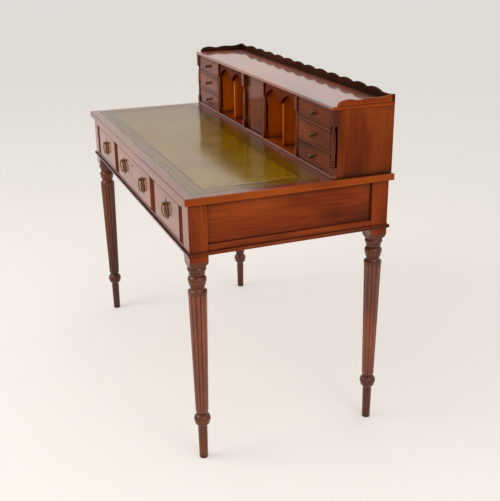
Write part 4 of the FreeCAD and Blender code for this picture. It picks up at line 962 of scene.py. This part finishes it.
def build_floor():
    """A seamless pale floor, brightest round the desk in a painted pool of light, that still takes its
    shadow.
    """
    look = Look("pale_floor")
    place = look.add("TexCoord").outputs["Object"]
    away = look.add("VectorMath", {0: place, 1: BRIGHT_SPOT}, operation="DISTANCE").outputs["Value"]
    # painted pool of light: the floor is paler near the bright spot
    colour = look.ramp(look.math("DIVIDE", away, FLOOR_REACH), FLOOR_SHADES)
    look.finish(Base_Color=colour, Roughness=0.9, Specular_IOR_Level=0.0)
    glow = look.add("Emission", {"Color": colour, "Strength": 1.0}).outputs[0]
    share = look.math("MULTIPLY", seen_share(look.tree.nodes.new), FLOOR_GLOW)
    mixed = look.add("MixShader", {0: share, 1: look.shader.outputs[0], 2: glow}).outputs[0]
    look.tree.links.new(mixed, look.tree.nodes["Material Output"].inputs["Surface"])
    mesh = bpy.data.meshes.new("floor")
    corners = [(x * FLOOR_HALF, y * FLOOR_HALF, 0) for x, y in ((-1, -1), (1, -1), (1, 1), (-1, 1))]
    mesh.from_pydata(corners, [], [(0, 1, 2, 3)])
    mesh.materials.append(look.material)
    floor = bpy.data.objects.new("floor", mesh)
    bpy.context.scene.collection.objects.link(floor)
    floor.location.z = -FLOOR_DROP


WORLD_LIGHT = (0.95, 0.93, 0.9, 1.0)
WORLD_STRENGTH = 0.85
# (height of the direction, colour seen there)
WORLD_SHADES = ((0.16, (0.78, 0.735, 0.695, 1.0)), (0.27, (1.0, 0.96, 0.92, 1.0)))


def build_world():
    """An even pale room, seen a little darker near the horizon than overhead."""
    world = bpy.data.worlds.new("studio")
    bpy.context.scene.world = world
    world.use_nodes = True
    nodes, links = world.node_tree.nodes, world.node_tree.links
    lit = nodes["Background"]
    lit.inputs["Color"].default_value = WORLD_LIGHT
    lit.inputs["Strength"].default_value = WORLD_STRENGTH
    height = nodes.new("ShaderNodeSeparateXYZ")
    links.new(nodes.new("ShaderNodeTexCoord").outputs["Generated"], height.inputs[0])
    ramp = nodes.new("ShaderNodeValToRGB")
    for element, (position, colour) in zip(ramp.color_ramp.elements, WORLD_SHADES):
        element.position = position
        element.color = colour
    links.new(height.outputs["Z"], ramp.inputs[0])
    seen = nodes.new("ShaderNodeBackground")
    links.new(ramp.outputs[0], seen.inputs["Color"])
    chosen = nodes.new("ShaderNodeMixShader")
    links.new(seen_share(nodes.new), chosen.inputs[0])
    links.new(lit.outputs[0], chosen.inputs[1])
    links.new(seen.outputs[0], chosen.inputs[2])
    links.new(chosen.outputs[0], nodes["World Output"].inputs["Surface"])


# name, place, target, size, watts, colour
LAMPS = (("key", (-0.4, -3.0, 3.1), (0, 0, 0.6), 2.4, 55, (1.0, 0.975, 0.945)),
         ("fill", (3.2, 0.6, 2.6), (0.3, 0, 0.7), 1.8, 22, (1.0, 0.95, 0.9)))


def build_lamp(name, place, target, size, power, colour):
    """A round lamp that faces its target."""
    data = bpy.data.lights.new(name, "AREA")
    data.shape = "DISK"
    data.size = size
    data.energy = power
    data.color = colour
    lamp = bpy.data.objects.new(name, data)
    bpy.context.scene.collection.objects.link(lamp)
    lamp.location = place
    lamp.rotation_euler = (Vector(target) - Vector(place)).to_track_quat("-Z", "Y").to_euler()


def build_lights():
    for lamp in LAMPS:
        build_lamp(*lamp)


# ---------------------------------------------------------------- the whole scene
def main():
    bpy.context.scene.view_settings.view_transform = "Standard"
    build_carcase()
    build_superstructure()
    build_leather()
    build_legs()
    build_columns()
    build_frieze_drawers()
    build_small_drawers()
    build_hinges()
    build_floor()
    build_world()
    build_lights()
    build_camera()


main()
